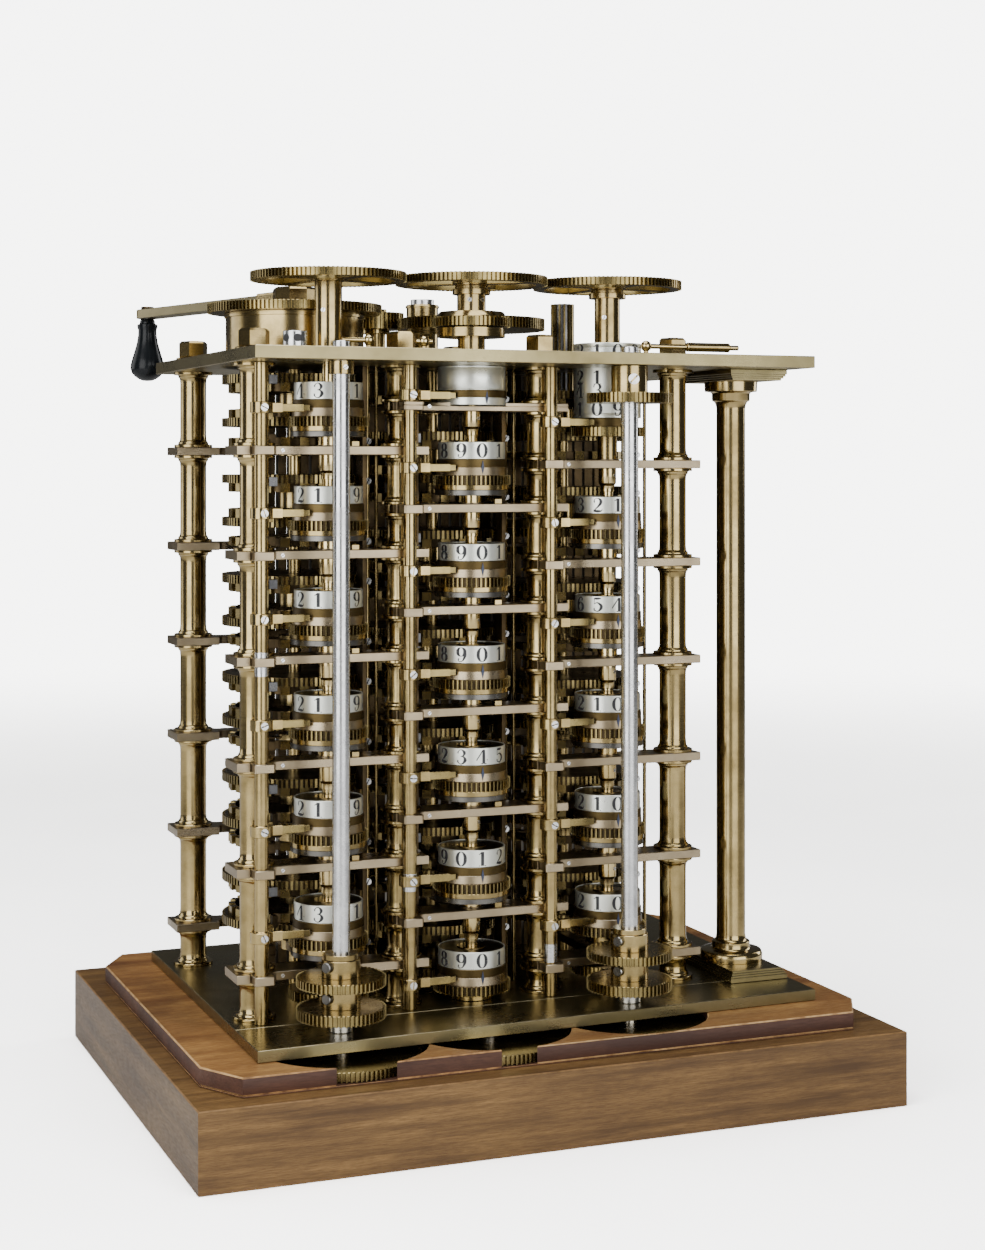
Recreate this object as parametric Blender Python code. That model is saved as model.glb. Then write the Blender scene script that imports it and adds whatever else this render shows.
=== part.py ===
"""Difference engine: three columns of figure wheels in a brass frame of posts and platforms.

Units are metres, +Z is up, and the origin is the middle of the wooden plinth's underside.
The frame has four pairs of posts, one column of wheels stands between each two pairs, and a
train of gears on the top plate turns everything from one hand crank.
"""

import math
from dataclasses import dataclass

import bmesh
import bpy
from mathutils import Vector

# Fits shared by the whole machine
SEAT = 0.0003
RUNNING_FIT = 0.0004
OVERRUN = 0.004

# Layout in plan: posts stand one column pitch apart, columns half way between them
COLUMN_PITCH = 0.128
FIRST_POST_X = -0.222
POST_COUNT = 4
FRONT_ROW_Y = -0.088
BACK_ROW_Y = 0.120
POINTER_ROW_Y = -0.111
REAR_AXIS_Y = 0.0105
PLATFORM_COUNT = 6

# Heights: each column's platforms are staggered against those of the column on its left
FRAME_HEIGHT = 0.5393
FRAME_HEAD_ROOM = 0.0348
FRAME_FOOT_ROOM = 0.0246
STAGGER_SHARE = 0.5673
LEVEL_SPAN = FRAME_HEIGHT - FRAME_HEAD_ROOM - FRAME_FOOT_ROOM
LEVEL_PITCH = LEVEL_SPAN / (PLATFORM_COUNT - 1 + STAGGER_SHARE)
WHEEL_RISES = (0.0493, 0.0490, 0.0508)
FOOT_WHEEL_RISE = 0.0363

# Gear train: every wheel shares one module, set by two equal wheels on neighbouring columns
TOP_TEETH = 104
FIGURE_TEETH = 52
FOOT_TEETH = 52
DRIVE_TEETH = 57
CRANK_TEETH = 122
IDLER_TEETH = 40
TRANSFER_TEETH = 106
MODULE = COLUMN_PITCH / TOP_TEETH

# Wooden plinth and the chamfered inner base on it
PLINTH_WIDTH = 0.614
PLINTH_DEPTH = 0.4826
PLINTH_HEIGHT = 0.0634
PLINTH_EDGE_RADIUS = 0.0015
INNER_BASE_WIDTH = 0.581
INNER_BASE_DEPTH = 0.4414
INNER_BASE_HEIGHT = 0.0158
INNER_BASE_CHAMFER_X = 0.0235
INNER_BASE_CHAMFER_Y = 0.041
GEAR_WELL_RADII = (0.0708, 0.0681, 0.0662)
GEAR_WELL_FLOOR = 0.0012

# Brass base plate, with a separate strip along its front
BASE_PLATE_LEFT_X = -0.2465
BASE_PLATE_RIGHT_X = 0.256
BASE_PLATE_BACK_Y = 0.183
BASE_PLATE_SEAM_Y = -0.121
BASE_STRIP_LEFT_Y = -0.188
BASE_STRIP_RIGHT_Y = -0.176
BASE_PLATE_THICKNESS = 0.0098

# Top plate
TOP_PLATE_LEFT_X = -0.244
TOP_PLATE_RIGHT_X = 0.258
TOP_PLATE_FRONT_Y = -0.172
TOP_PLATE_BACK_Y = 0.175
TOP_PLATE_THICKNESS = 0.0105

# Posts, their flanges and the nuts on top
POST_RADIUS = 0.0118
POST_FLANGE_RADIUS = 0.0177
POST_FLANGE_HEIGHT = 0.0025
POST_FLARE_HEIGHT = 0.0045
STUD_RADIUS = 0.0080
WASHER_RADIUS = 0.0155
WASHER_HEIGHT = 0.0026
NUT_CORNER_RADIUS = 0.0132
NUT_HEIGHT = 0.0153

# Platforms
PLATFORM_THICKNESS = 0.0073
PLATFORM_BAR_HALF_DEPTH = 0.016
PLATFORM_LUG_END = 0.0195
PLATFORM_BACK_HALF_DEPTH = 0.009
PLATFORM_WEB_HALF_WIDTH = 0.0105
POINTER_EYE_REACH = 0.0090
POINTER_EYE_HALF_WIDTH = 0.0095
BEARING_LEVELS = (0, PLATFORM_COUNT - 1)

# Pointer rods, with a clamp and a pointer for each wheel
POINTER_ROD_RADIUS = 0.0060
CLAMP_RADIUS = 0.0095
CLAMP_HEIGHT = 0.0090
POINTER_HEIGHT = 0.0068
POINTER_THICKNESS = 0.0030
POINTER_DROP = 0.0145
POINTER_STANDOFF_X = 0.0225
DRUM_POINTER_DROP = 0.0257

# Spindles of the three columns
SPINDLE_RADIUS = 0.0052
SPINDLE_NECK_RADIUS = 0.0060
SPINDLE_FOOT_RADIUS = 0.0090

# Figure wheels, measured from the middle of the numeral band
BAND_RADIUS = 0.0288
BAND_HALF_HEIGHT = 0.0073
SKIRT_HEIGHT = 0.0139
SKIRT_RADIUS = 0.0302
TOOTH_RING_HEIGHT = 0.0080
TOOTH_ADDENDUM_SHARE = 1.0
FLANGE_RADIUS = 0.0316
FLANGE_HEIGHT = 0.0088
HUB_RADIUS = 0.0088
FOOT_RIM_RADIUS = 0.0190
SLIM_WHEELS = ((3, 4),)

# Upper counting drum of column 2 and numeral drum of column 3
COUNTER_DRUM_RADIUS = 0.0290
COUNTER_DRUM_HEIGHT = 0.0205
COUNTER_SKIRT_RADIUS = 0.0302
NUMERAL_DRUM_RADIUS = 0.0296
NUMERAL_DRUM_RISE = 0.0112
NUMERAL_DRUM_HEIGHT = 0.065
NUMERAL_NECK_RADIUS = 0.0250
NUMERAL_NECK_HEIGHT = 0.008
NUMERAL_RING_HEIGHT = 0.008
PLATE_HOLE_GAP = 0.0015

# Wheels above the top plate, heights measured from the plate's upper face
TOP_GEAR_RISE = 0.0587
TOP_GEAR_THICKNESS = 0.0071
GEAR_RIM_WIDTH = 0.0085
GEAR_SPOKE_COUNT = 4
GEAR_SPOKE_WIDTH = 0.011
GEAR_HUB_RADIUS = 0.0165
TUBE_RADIUS = 0.0115
COUNTER_BAND_RISE = 0.0142
COUNTER_BAND_HEIGHT = 0.0080
PINION_RISE = 0.0232
PINION_THICKNESS = 0.0080
PINION_BEVEL_RADIUS = 0.0260
PINION_BEVEL_HEIGHT = 0.0050
SPINDLE_CAP_RADIUS = 0.0165
SPINDLE_CAP_HEIGHT = 0.0075

# Crank
CRANK_DRUM_RADIUS = 0.0603
CRANK_DRUM_HEIGHT = 0.0374
CRANK_WHEEL_THICKNESS = 0.0077
CRANK_STUB_RADIUS = 0.0055
CRANK_SQUARE_RADIUS = 0.0080
CRANK_BOSS_RADIUS = 0.0198
CRANK_BOSS_HEIGHT = 0.0153
CRANK_ARM_THICKNESS = 0.0088
CRANK_ARM_LIFT = 0.0020
CRANK_ARM_LENGTH = 0.2686
CRANK_ARM_WIDTH = 0.0236
CRANK_ARM_TIP_WIDTH = 0.0210
CRANK_ARM_ANGLE = math.radians(105.8)
GRIP_PIN_RADIUS = 0.0035
GRIP_PIN_HEAD_RADIUS = 0.0060
GRIP_PIN_HEAD_HEIGHT = 0.0026
GRIP_RADIUS = 0.0164
GRIP_LENGTH = 0.0605
GRIP_RADIUS_SHARES = (0.36, 0.46, 0.52, 0.72, 0.96, 1.0, 0.84, 0.38)
GRIP_DROP_SHARES = (0.0, 0.08, 0.22, 0.50, 0.72, 0.80, 0.93, 1.0)

# Idler and transfer wheel on the top plate
TRANSFER_X = 0.0048
TRANSFER_RISE = 0.0262
TRANSFER_THICKNESS = 0.0100
IDLER_RISE = 0.0282
IDLER_THICKNESS = 0.0150
TRAIN_HUB_RADIUS = 0.0090
TRAIN_PIN_RADIUS = 0.0040

# Drive rods in front of the outer columns, and the gears under the plate
DRIVE_OFFSET_X = 0.010
DRIVE_ROD_RADIUS = 0.00685
DRIVE_JOURNAL_RADIUS = 0.0088
DRIVE_HUB_RADIUS = 0.0157
DRIVE_COLLAR_RADIUS = 0.0105
DRIVE_COLLAR_HEIGHT = 0.0108
DRIVE_LOW_GEAR_RISE = 0.0115
DRIVE_LOW_GEAR_THICKNESS = 0.0085
DRIVE_HIGH_GEAR_RISE = 0.0373
DRIVE_HIGH_GEAR_THICKNESS = 0.0072
DRIVE_HUB_TOP_RISE = 0.063
DRIVE_ROD_PROUD = 0.0053
DRIVE_HEAD_HUB_HEIGHT = 0.023
DRIVE_HEAD_GEAR_THICKNESS = 0.0085
UNDER_GEAR_THICKNESS = 0.0073
UNDER_GEAR_CLEARANCE = 0.0006

# Rear axes: below each level one wheel with its crown down and one with its crown up
REAR_SHAFT_RADIUS = 0.0055
REAR_DISC_RADIUS = 0.0635
REAR_CROWN_RADIUS = 0.0579
REAR_UPPER_WHEEL_DROP_SHARE = 0.238
REAR_LOWER_WHEEL_DROP_SHARE = 0.580
REAR_DISC_HEIGHT = 0.0074
REAR_CROWN_HEIGHT = 0.0077
REAR_LEVEL_COUNT = 6
LONG_PINION_RADIUS = 0.0108
LONG_PINION_PROUD = 0.0532

# Corner column
CORNER_COLUMN_X = 0.2245
CORNER_COLUMN_Y = -0.080
CORNER_BLOCK_WIDTH = 0.056
CORNER_BLOCK_DEPTH = 0.106
CORNER_BLOCK_HEIGHT = 0.0093
CORNER_BLOCK_STEP = 0.004
CORNER_DISC_RADIUS = 0.0282
CORNER_DISC_HEIGHT = 0.0092
CORNER_NECK_RADIUS = 0.0170
CORNER_NECK_HEIGHT = 0.0072
CORNER_SHAFT_RADIUS = 0.0130
CORNER_CAPITAL_RADIUS = 0.0215
CORNER_CAPITAL_HEIGHT = 0.0090

# Facets of the round pieces
POST_SIDES = 8
ROD_SIDES = 6
WHEEL_SIDES = 10
GEAR_SIDES = 24
DRUM_SIDES = 20
REAR_SIDES = 8
HOLE_SIDES = 6
NUT_SIDES = 6
EYE_SIDES = 8
SMOOTH_ANGLE = math.radians(50)

# Heights of the main faces
INNER_BASE_BOTTOM = PLINTH_HEIGHT + SEAT
INNER_BASE_TOP = PLINTH_HEIGHT + INNER_BASE_HEIGHT
BASE_PLATE_BOTTOM = INNER_BASE_TOP + SEAT
BASE_PLATE_TOP = INNER_BASE_TOP + BASE_PLATE_THICKNESS
TOP_PLATE_BOTTOM = BASE_PLATE_TOP + FRAME_HEIGHT
TOP_PLATE_TOP = TOP_PLATE_BOTTOM + TOP_PLATE_THICKNESS
TOP_GEAR_BOTTOM = TOP_PLATE_TOP + TOP_GEAR_RISE
UNDER_GEAR_BOTTOM = INNER_BASE_BOTTOM + GEAR_WELL_FLOOR + UNDER_GEAR_CLEARANCE
UNDER_GEAR_TOP = UNDER_GEAR_BOTTOM + UNDER_GEAR_THICKNESS
HIGHEST_PLATFORM_Z = TOP_PLATE_BOTTOM - FRAME_HEAD_ROOM
STAGGER = STAGGER_SHARE * LEVEL_PITCH
REAR_UPPER_WHEEL_DROP = REAR_UPPER_WHEEL_DROP_SHARE * LEVEL_PITCH
REAR_LOWER_WHEEL_DROP = REAR_LOWER_WHEEL_DROP_SHARE * LEVEL_PITCH


@dataclass(frozen=True)
class Column:
    """One column of figure wheels between two pairs of posts."""

    index: int
    top_platform: float
    wheel_rise: float
    wheel_count: int
    first_wheel_level: int
    rear_first_level: int

    @property
    def left_x(self):
        """X of the posts on the column's left."""
        return FIRST_POST_X + self.index * COLUMN_PITCH

    @property
    def x(self):
        """X of the column's spindle."""
        return self.left_x + COLUMN_PITCH / 2

    @property
    def number(self):
        """The column's number in the names of its pieces, counted from 1."""
        return self.index + 1

    def platform_z(self, level):
        """Middle height of a platform, level 0 being the highest."""
        return self.top_platform - level * LEVEL_PITCH

    def wheel_z(self, place):
        """Middle height of a wheel's numeral band, place 0 being the highest."""
        level = self.first_wheel_level + place
        if level < PLATFORM_COUNT:
            return self.platform_z(level) + self.wheel_rise
        return BASE_PLATE_TOP + FOOT_WHEEL_RISE

    def seat_z(self, place):
        """Height of the face that a wheel's hub stands on."""
        level = self.first_wheel_level + place
        if level < PLATFORM_COUNT:
            return self.platform_z(level) + PLATFORM_THICKNESS / 2
        return BASE_PLATE_TOP


COLUMNS = (
    Column(0, HIGHEST_PLATFORM_Z + STAGGER - LEVEL_PITCH, WHEEL_RISES[0], 6, 0, -1),
    Column(1, HIGHEST_PLATFORM_Z, WHEEL_RISES[1], 6, 1, 0),
    Column(2, HIGHEST_PLATFORM_Z - STAGGER, WHEEL_RISES[2], 5, 1, -1),
)


def post_x(number):
    """X of a pair of posts, counted from 0 on the left."""
    return FIRST_POST_X + number * COLUMN_PITCH


def pitch_radius(teeth):
    """Pitch radius of a wheel of the train."""
    return MODULE * teeth / 2


def rim_radius(teeth):
    """Radius of a plain rim that clears its plain partner by one seat gap."""
    return pitch_radius(teeth) - SEAT / 2


def tip_radius(teeth):
    """Outside radius of a toothed wheel."""
    return pitch_radius(teeth) + MODULE * TOOTH_ADDENDUM_SHARE


def hole_radius(shaft_radius, sides, fit=RUNNING_FIT):
    """Corner radius of a faceted hole whose flats clear a shaft."""
    return (shaft_radius + fit) / math.cos(math.pi / sides)


def mesh_distance(teeth_a, teeth_b):
    """Distance between the axes of two meshed wheels."""
    return pitch_radius(teeth_a) + pitch_radius(teeth_b)


def drive_axis(column):
    """Axis of the drive rod whose low gear meshes with a column's foot gear."""
    reach = mesh_distance(DRIVE_TEETH, FOOT_TEETH)
    return column.x - DRIVE_OFFSET_X, FRONT_ROW_Y - math.sqrt(reach**2 - DRIVE_OFFSET_X**2)


def transfer_axis():
    """Axis of the transfer wheel, which meshes with the pinion of column 2."""
    reach = mesh_distance(TRANSFER_TEETH, FIGURE_TEETH)
    run = TRANSFER_X - COLUMNS[1].x
    return TRANSFER_X, FRONT_ROW_Y + math.sqrt(reach**2 - run**2)


def idler_axis():
    """Axis of the idler, which meshes with both the crank wheel and the transfer wheel."""
    crank = Vector((COLUMNS[0].x, REAR_AXIS_Y))
    transfer = Vector(transfer_axis())
    to_crank = mesh_distance(IDLER_TEETH, CRANK_TEETH)
    to_transfer = mesh_distance(IDLER_TEETH, TRANSFER_TEETH)
    span = (transfer - crank).length
    along = (span**2 + to_crank**2 - to_transfer**2) / (2 * span)
    off = math.sqrt(to_crank**2 - along**2)
    direction = (transfer - crank) / span
    place = crank + direction * along + Vector((-direction.y, direction.x)) * off
    return place.x, place.y


def make_material(name, colour, roughness, metallic):
    """Make a Principled BSDF material."""
    material = bpy.data.materials.new(name)
    material.use_nodes = True
    shader = material.node_tree.nodes["Principled BSDF"]
    shader.inputs["Base Color"].default_value = (*colour, 1.0)
    shader.inputs["Roughness"].default_value = roughness
    shader.inputs["Metallic"].default_value = metallic
    material.diffuse_color = (*colour, 1.0)
    return material


def make_materials():
    """Make the finishes of the machine, by name."""
    return {
        "brass": make_material("aged_brass", (0.50, 0.36, 0.16), 0.30, 1.0),
        "plate": make_material("plate_brass", (0.44, 0.34, 0.18), 0.35, 1.0),
        "steel": make_material("grey_steel", (0.52, 0.53, 0.54), 0.38, 1.0),
        "band": make_material("silvered_band", (0.62, 0.64, 0.56), 0.45, 0.6),
        "wood": make_material("plinth_walnut", (0.16, 0.075, 0.030), 0.40, 0.0),
        "old_wood": make_material("worn_walnut", (0.28, 0.13, 0.04), 0.45, 0.0),
        "ebony": make_material("black_grip", (0.012, 0.014, 0.018), 0.25, 0.0),
    }


def circle(radius, sides, centre=(0.0, 0.0)):
    """Points round a circle, with a flat facing +X."""
    start = math.pi / sides
    return [
        (
            centre[0] + radius * math.cos(start + 2 * math.pi * i / sides),
            centre[1] + radius * math.sin(start + 2 * math.pi * i / sides),
        )
        for i in range(sides)
    ]


def rectangle(width, depth):
    """Corner points of a rectangle about the origin."""
    x, y = width / 2, depth / 2
    return [(-x, -y), (x, -y), (x, y), (-x, y)]


def finish_mesh(name, bm):
    """Turn a closed bmesh into a mesh with its faces pointing out and round parts smooth."""
    bmesh.ops.recalc_face_normals(bm, faces=bm.faces)
    mesh = bpy.data.meshes.new(name)
    bm.to_mesh(mesh)
    bm.free()
    mesh.shade_smooth()
    mesh.set_sharp_from_angle(angle=SMOOTH_ANGLE)
    return mesh


def skin(name, sections, bore=None):
    """Join sections of equal point count from bottom to top, with an optional straight bore."""
    bm = bmesh.new()
    rings = [[bm.verts.new((x, y, z)) for x, y in points] for points, z in sections]
    if bore:
        for _, z in (sections[-1], sections[0]):
            rings.append([bm.verts.new((x, y, z)) for x, y in bore])
    pairs = list(zip(rings, rings[1:]))
    if bore:
        pairs.append((rings[-1], rings[0]))
    for lower, upper in pairs:
        for i in range(len(lower)):
            j = (i + 1) % len(lower)
            bm.faces.new((lower[i], lower[j], upper[j], upper[i]))
    if not bore:
        bm.faces.new(rings[0])
        bm.faces.new(rings[-1])
    return finish_mesh(name, bm)


def turned(name, profile, sides, bore_radius=None, centre=(0.0, 0.0)):
    """Turn a profile of (radius, height) pairs, bottom to top, about a vertical axis."""
    sections = [(circle(radius, sides, centre), z) for radius, z in profile]
    bore = circle(bore_radius, sides, centre) if bore_radius else None
    return skin(name, sections, bore)


def steps(*tiers):
    """Profile of stacked cylinders, each given as (radius, bottom, top)."""
    return [(radius, z) for radius, bottom, top in tiers for z in (bottom, top)]


def plate(name, outline, holes, bottom, top):
    """Extrude a flat outline with holes."""
    bm = bmesh.new()
    edges = []
    for loop in (outline, *holes):
        verts = [bm.verts.new((x, y, bottom)) for x, y in loop]
        edges += [bm.edges.new((verts[i - 1], verts[i])) for i in range(len(verts))]
    bmesh.ops.triangle_fill(bm, use_beauty=True, edges=edges)
    lifted = bmesh.ops.extrude_face_region(bm, geom=bm.faces[:])["geom"]
    upper = [item for item in lifted if isinstance(item, bmesh.types.BMVert)]
    bmesh.ops.translate(bm, verts=upper, vec=(0.0, 0.0, top - bottom))
    return finish_mesh(name, bm)


def boolean(name, body, tools, operation):
    """Join or cut a mesh with others, and return the result as one plain mesh."""
    subject = bpy.data.objects.new(name, body)
    bpy.context.scene.collection.objects.link(subject)
    helpers = []
    for tool in tools:
        helper = bpy.data.objects.new(tool.name, tool)
        bpy.context.scene.collection.objects.link(helper)
        modifier = subject.modifiers.new(operation.lower(), "BOOLEAN")
        modifier.operation = operation
        modifier.solver = "EXACT"
        modifier.object = helper
        helpers.append(helper)
    depsgraph = bpy.context.evaluated_depsgraph_get()
    result = bpy.data.meshes.new_from_object(subject.evaluated_get(depsgraph))
    for leftover in (subject, *helpers):
        bpy.data.objects.remove(leftover)
    result.shade_smooth()
    result.set_sharp_from_angle(angle=SMOOTH_ANGLE)
    return result


def place(name, mesh, material, axis=(0.0, 0.0), angle=0.0):
    """Add a piece to the scene with its origin on its axis."""
    mesh.name = name
    mesh.materials.clear()
    mesh.materials.append(material)
    piece = bpy.data.objects.new(name, mesh)
    piece.location = (axis[0], axis[1], 0.0)
    piece.rotation_euler = (0.0, 0.0, angle)
    bpy.context.scene.collection.objects.link(piece)
    return piece


def spoked_outline(teeth, bore_radius):
    """Outline and holes of a spoked wheel with a hub."""
    outer = circle(rim_radius(teeth), GEAR_SIDES)
    inner_radius = pitch_radius(teeth) - GEAR_RIM_WIDTH
    holes = [circle(bore_radius, HOLE_SIDES)]
    arc_steps = GEAR_SIDES // GEAR_SPOKE_COUNT // 2
    for spoke in range(GEAR_SPOKE_COUNT):
        middle = 2 * math.pi * (spoke + 1 / 2) / GEAR_SPOKE_COUNT
        outer_half = math.pi / GEAR_SPOKE_COUNT - GEAR_SPOKE_WIDTH / 2 / inner_radius
        inner_half = math.pi / GEAR_SPOKE_COUNT - GEAR_SPOKE_WIDTH / 2 / GEAR_HUB_RADIUS
        window = []
        for i in range(arc_steps + 1):
            turn = middle - outer_half + 2 * outer_half * i / arc_steps
            window.append((inner_radius * math.cos(turn), inner_radius * math.sin(turn)))
        for turn in (middle + inner_half, middle - inner_half):
            window.append((GEAR_HUB_RADIUS * math.cos(turn), GEAR_HUB_RADIUS * math.sin(turn)))
        holes.append(window)
    return outer, holes


def build_plinth(materials):
    """Solid wooden block that the machine stands on."""
    mesh = plate("plinth", rectangle(PLINTH_WIDTH, PLINTH_DEPTH), [], 0.0, PLINTH_HEIGHT)
    piece = place("plinth", mesh, materials["wood"])
    bevel = piece.modifiers.new("worn_edges", "BEVEL")
    bevel.width = PLINTH_EDGE_RADIUS
    bevel.segments = 1


def chamfered_rectangle(width, depth, cut_x, cut_y):
    """Rectangle with its four corners cut off."""
    x, y = width / 2, depth / 2
    return [
        (-x + cut_x, -y), (x - cut_x, -y), (x, -y + cut_y), (x, y - cut_y),
        (x - cut_x, y), (-x + cut_x, y), (-x, y - cut_y), (-x, -y + cut_y),
    ]


def build_inner_base(materials):
    """Wooden board with three round wells for the gears under the plate."""
    outline = chamfered_rectangle(
        INNER_BASE_WIDTH, INNER_BASE_DEPTH, INNER_BASE_CHAMFER_X, INNER_BASE_CHAMFER_Y
    )
    board = plate("inner_base", outline, [], INNER_BASE_BOTTOM, INNER_BASE_TOP)
    floor = INNER_BASE_BOTTOM + GEAR_WELL_FLOOR
    wells = [
        turned("well", steps((radius, floor, INNER_BASE_TOP + OVERRUN)), DRUM_SIDES,
               centre=drive_axis(column))
        for column, radius in zip(COLUMNS, GEAR_WELL_RADII)
    ]
    place("inner_base", boolean("inner_base", board, wells, "DIFFERENCE"), materials["old_wood"])


def build_base_plates(materials):
    """Main base plate and the strip in front of it that carries the drive rods."""
    main = [
        (BASE_PLATE_LEFT_X, BASE_PLATE_SEAM_Y), (BASE_PLATE_RIGHT_X, BASE_PLATE_SEAM_Y),
        (BASE_PLATE_RIGHT_X, BASE_PLATE_BACK_Y), (BASE_PLATE_LEFT_X, BASE_PLATE_BACK_Y),
    ]
    seam = BASE_PLATE_SEAM_Y - SEAT
    strip = [
        (BASE_PLATE_LEFT_X, BASE_STRIP_LEFT_Y), (BASE_PLATE_RIGHT_X, BASE_STRIP_RIGHT_Y),
        (BASE_PLATE_RIGHT_X, seam), (BASE_PLATE_LEFT_X, seam),
    ]
    hole = hole_radius(DRIVE_ROD_RADIUS, HOLE_SIDES)
    holes = [circle(hole, HOLE_SIDES, drive_axis(column)) for column in COLUMNS]
    place("base_plate", plate("base_plate", main, [], BASE_PLATE_BOTTOM, BASE_PLATE_TOP),
          materials["plate"])
    place("base_strip", plate("base_strip", strip, holes, BASE_PLATE_BOTTOM, BASE_PLATE_TOP),
          materials["plate"])


def build_top_plate(materials):
    """Top plate, pierced by studs, spindles, rods and the numeral drum."""
    outline = [
        (TOP_PLATE_LEFT_X, TOP_PLATE_FRONT_Y), (TOP_PLATE_RIGHT_X, TOP_PLATE_FRONT_Y),
        (TOP_PLATE_RIGHT_X, TOP_PLATE_BACK_Y), (TOP_PLATE_LEFT_X, TOP_PLATE_BACK_Y),
    ]
    bores = [
        (STUD_RADIUS, (post_x(number), y))
        for number in range(POST_COUNT)
        for y in (FRONT_ROW_Y, BACK_ROW_Y)
    ]
    bores += [(SPINDLE_RADIUS, (column.x, FRONT_ROW_Y)) for column in COLUMNS[:2]]
    bores += [(DRIVE_ROD_RADIUS, drive_axis(column)) for column in COLUMNS[::2]]
    bores += [
        (CRANK_STUB_RADIUS, (COLUMNS[0].x, REAR_AXIS_Y)),
        (LONG_PINION_RADIUS, (COLUMNS[2].x, REAR_AXIS_Y)),
        (TRAIN_PIN_RADIUS, transfer_axis()),
        (TRAIN_PIN_RADIUS, idler_axis()),
    ]
    holes = [
        circle(hole_radius(radius, HOLE_SIDES), HOLE_SIDES, centre) for radius, centre in bores
    ]
    drum_hole = NUMERAL_DRUM_RADIUS + PLATE_HOLE_GAP
    holes.append(circle(drum_hole, DRUM_SIDES, (COLUMNS[2].x, FRONT_ROW_Y)))
    place("top_plate", plate("top_plate", outline, holes, TOP_PLATE_BOTTOM, TOP_PLATE_TOP),
          materials["plate"])


def post_mesh(number, y):
    """One post of a pair: a flanged and flared tube with a stud through the top plate."""
    bottom = BASE_PLATE_TOP + SEAT
    top = TOP_PLATE_BOTTOM - SEAT
    profile = steps((POST_FLANGE_RADIUS, bottom, bottom + POST_FLANGE_HEIGHT))
    profile.append((POST_RADIUS, bottom + POST_FLANGE_HEIGHT + POST_FLARE_HEIGHT))
    profile.append((POST_RADIUS, top - POST_FLANGE_HEIGHT - POST_FLARE_HEIGHT))
    profile += steps((POST_FLANGE_RADIUS, top - POST_FLANGE_HEIGHT, top))
    profile += steps((STUD_RADIUS, top, TOP_PLATE_TOP))
    return turned("post", profile, POST_SIDES, centre=(post_x(number), y))


def front_bar(column):
    """Outline and holes of a platform's front bar, with an eye for the pointer rod."""
    x0 = column.left_x
    eye_left, eye_right = x0 - POINTER_EYE_HALF_WIDTH, x0 + POINTER_EYE_HALF_WIDTH
    left, half_depth = eye_left, PLATFORM_BAR_HALF_DEPTH
    if column.index == 0:
        left, half_depth = x0 - PLATFORM_LUG_END, PLATFORM_LUG_END
    right = x0 + COLUMN_PITCH + PLATFORM_LUG_END
    low, high = FRONT_ROW_Y - PLATFORM_BAR_HALF_DEPTH, FRONT_ROW_Y + PLATFORM_BAR_HALF_DEPTH
    eye_front = POINTER_ROW_Y - POINTER_EYE_REACH
    outline = [
        (left, FRONT_ROW_Y - half_depth), (eye_left, FRONT_ROW_Y - half_depth),
        (eye_left, eye_front), (eye_right, eye_front), (eye_right, low), (right, low),
        (right, high), (eye_right, high), (eye_right, FRONT_ROW_Y + half_depth),
        (left, FRONT_ROW_Y + half_depth),
    ]
    post_hole = hole_radius(POST_RADIUS, EYE_SIDES, SEAT)
    holes = [
        circle(post_hole, EYE_SIDES, (x0 + COLUMN_PITCH, FRONT_ROW_Y)),
        circle(hole_radius(SPINDLE_RADIUS, HOLE_SIDES), HOLE_SIDES, (column.x, FRONT_ROW_Y)),
        circle(hole_radius(POINTER_ROD_RADIUS, HOLE_SIDES), HOLE_SIDES, (x0, POINTER_ROW_Y)),
    ]
    return list(dict.fromkeys(outline)), holes


def back_bar(column):
    """Outline and hole of a platform's back bar, with a square lug on each back post."""
    x0, x1 = column.left_x, column.left_x + COLUMN_PITCH
    lug, half_depth = PLATFORM_LUG_END, PLATFORM_BACK_HALF_DEPTH
    front = [
        (x0 - lug, -lug), (x0 + lug, -lug), (x0 + lug, -half_depth), (x1 - lug, -half_depth),
        (x1 - lug, -lug), (x1 + lug, -lug),
    ]
    offsets = front + [(x, -y) for x, y in reversed(front)]
    post_hole = hole_radius(POST_RADIUS, EYE_SIDES, SEAT)
    outline = [(x, BACK_ROW_Y + y) for x, y in offsets]
    return outline, [circle(post_hole, EYE_SIDES, (x1, BACK_ROW_Y))]


def bearing_web(column):
    """Outline and hole of the web that joins both bars and carries the rear shaft."""
    left, right = column.x - PLATFORM_WEB_HALF_WIDTH, column.x + PLATFORM_WEB_HALF_WIDTH
    low, high = FRONT_ROW_Y + PLATFORM_BAR_HALF_DEPTH - OVERRUN, BACK_ROW_Y
    outline = [(left, low), (right, low), (right, high), (left, high)]
    shaft_hole = hole_radius(REAR_SHAFT_RADIUS, HOLE_SIDES)
    return outline, [circle(shaft_hole, HOLE_SIDES, (column.x, REAR_AXIS_Y))]


def platform(column, level):
    """The bars of one platform, all of one thickness, and its web if it has one."""
    z = column.platform_z(level)
    half = PLATFORM_THICKNESS / 2
    bars = [front_bar(column), back_bar(column)]
    if level in BEARING_LEVELS:
        bars.append(bearing_web(column))
    return [
        plate(f"platform_{level}_{i}", outline, holes, z - half, z + half)
        for i, (outline, holes) in enumerate(bars)
    ]


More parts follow.
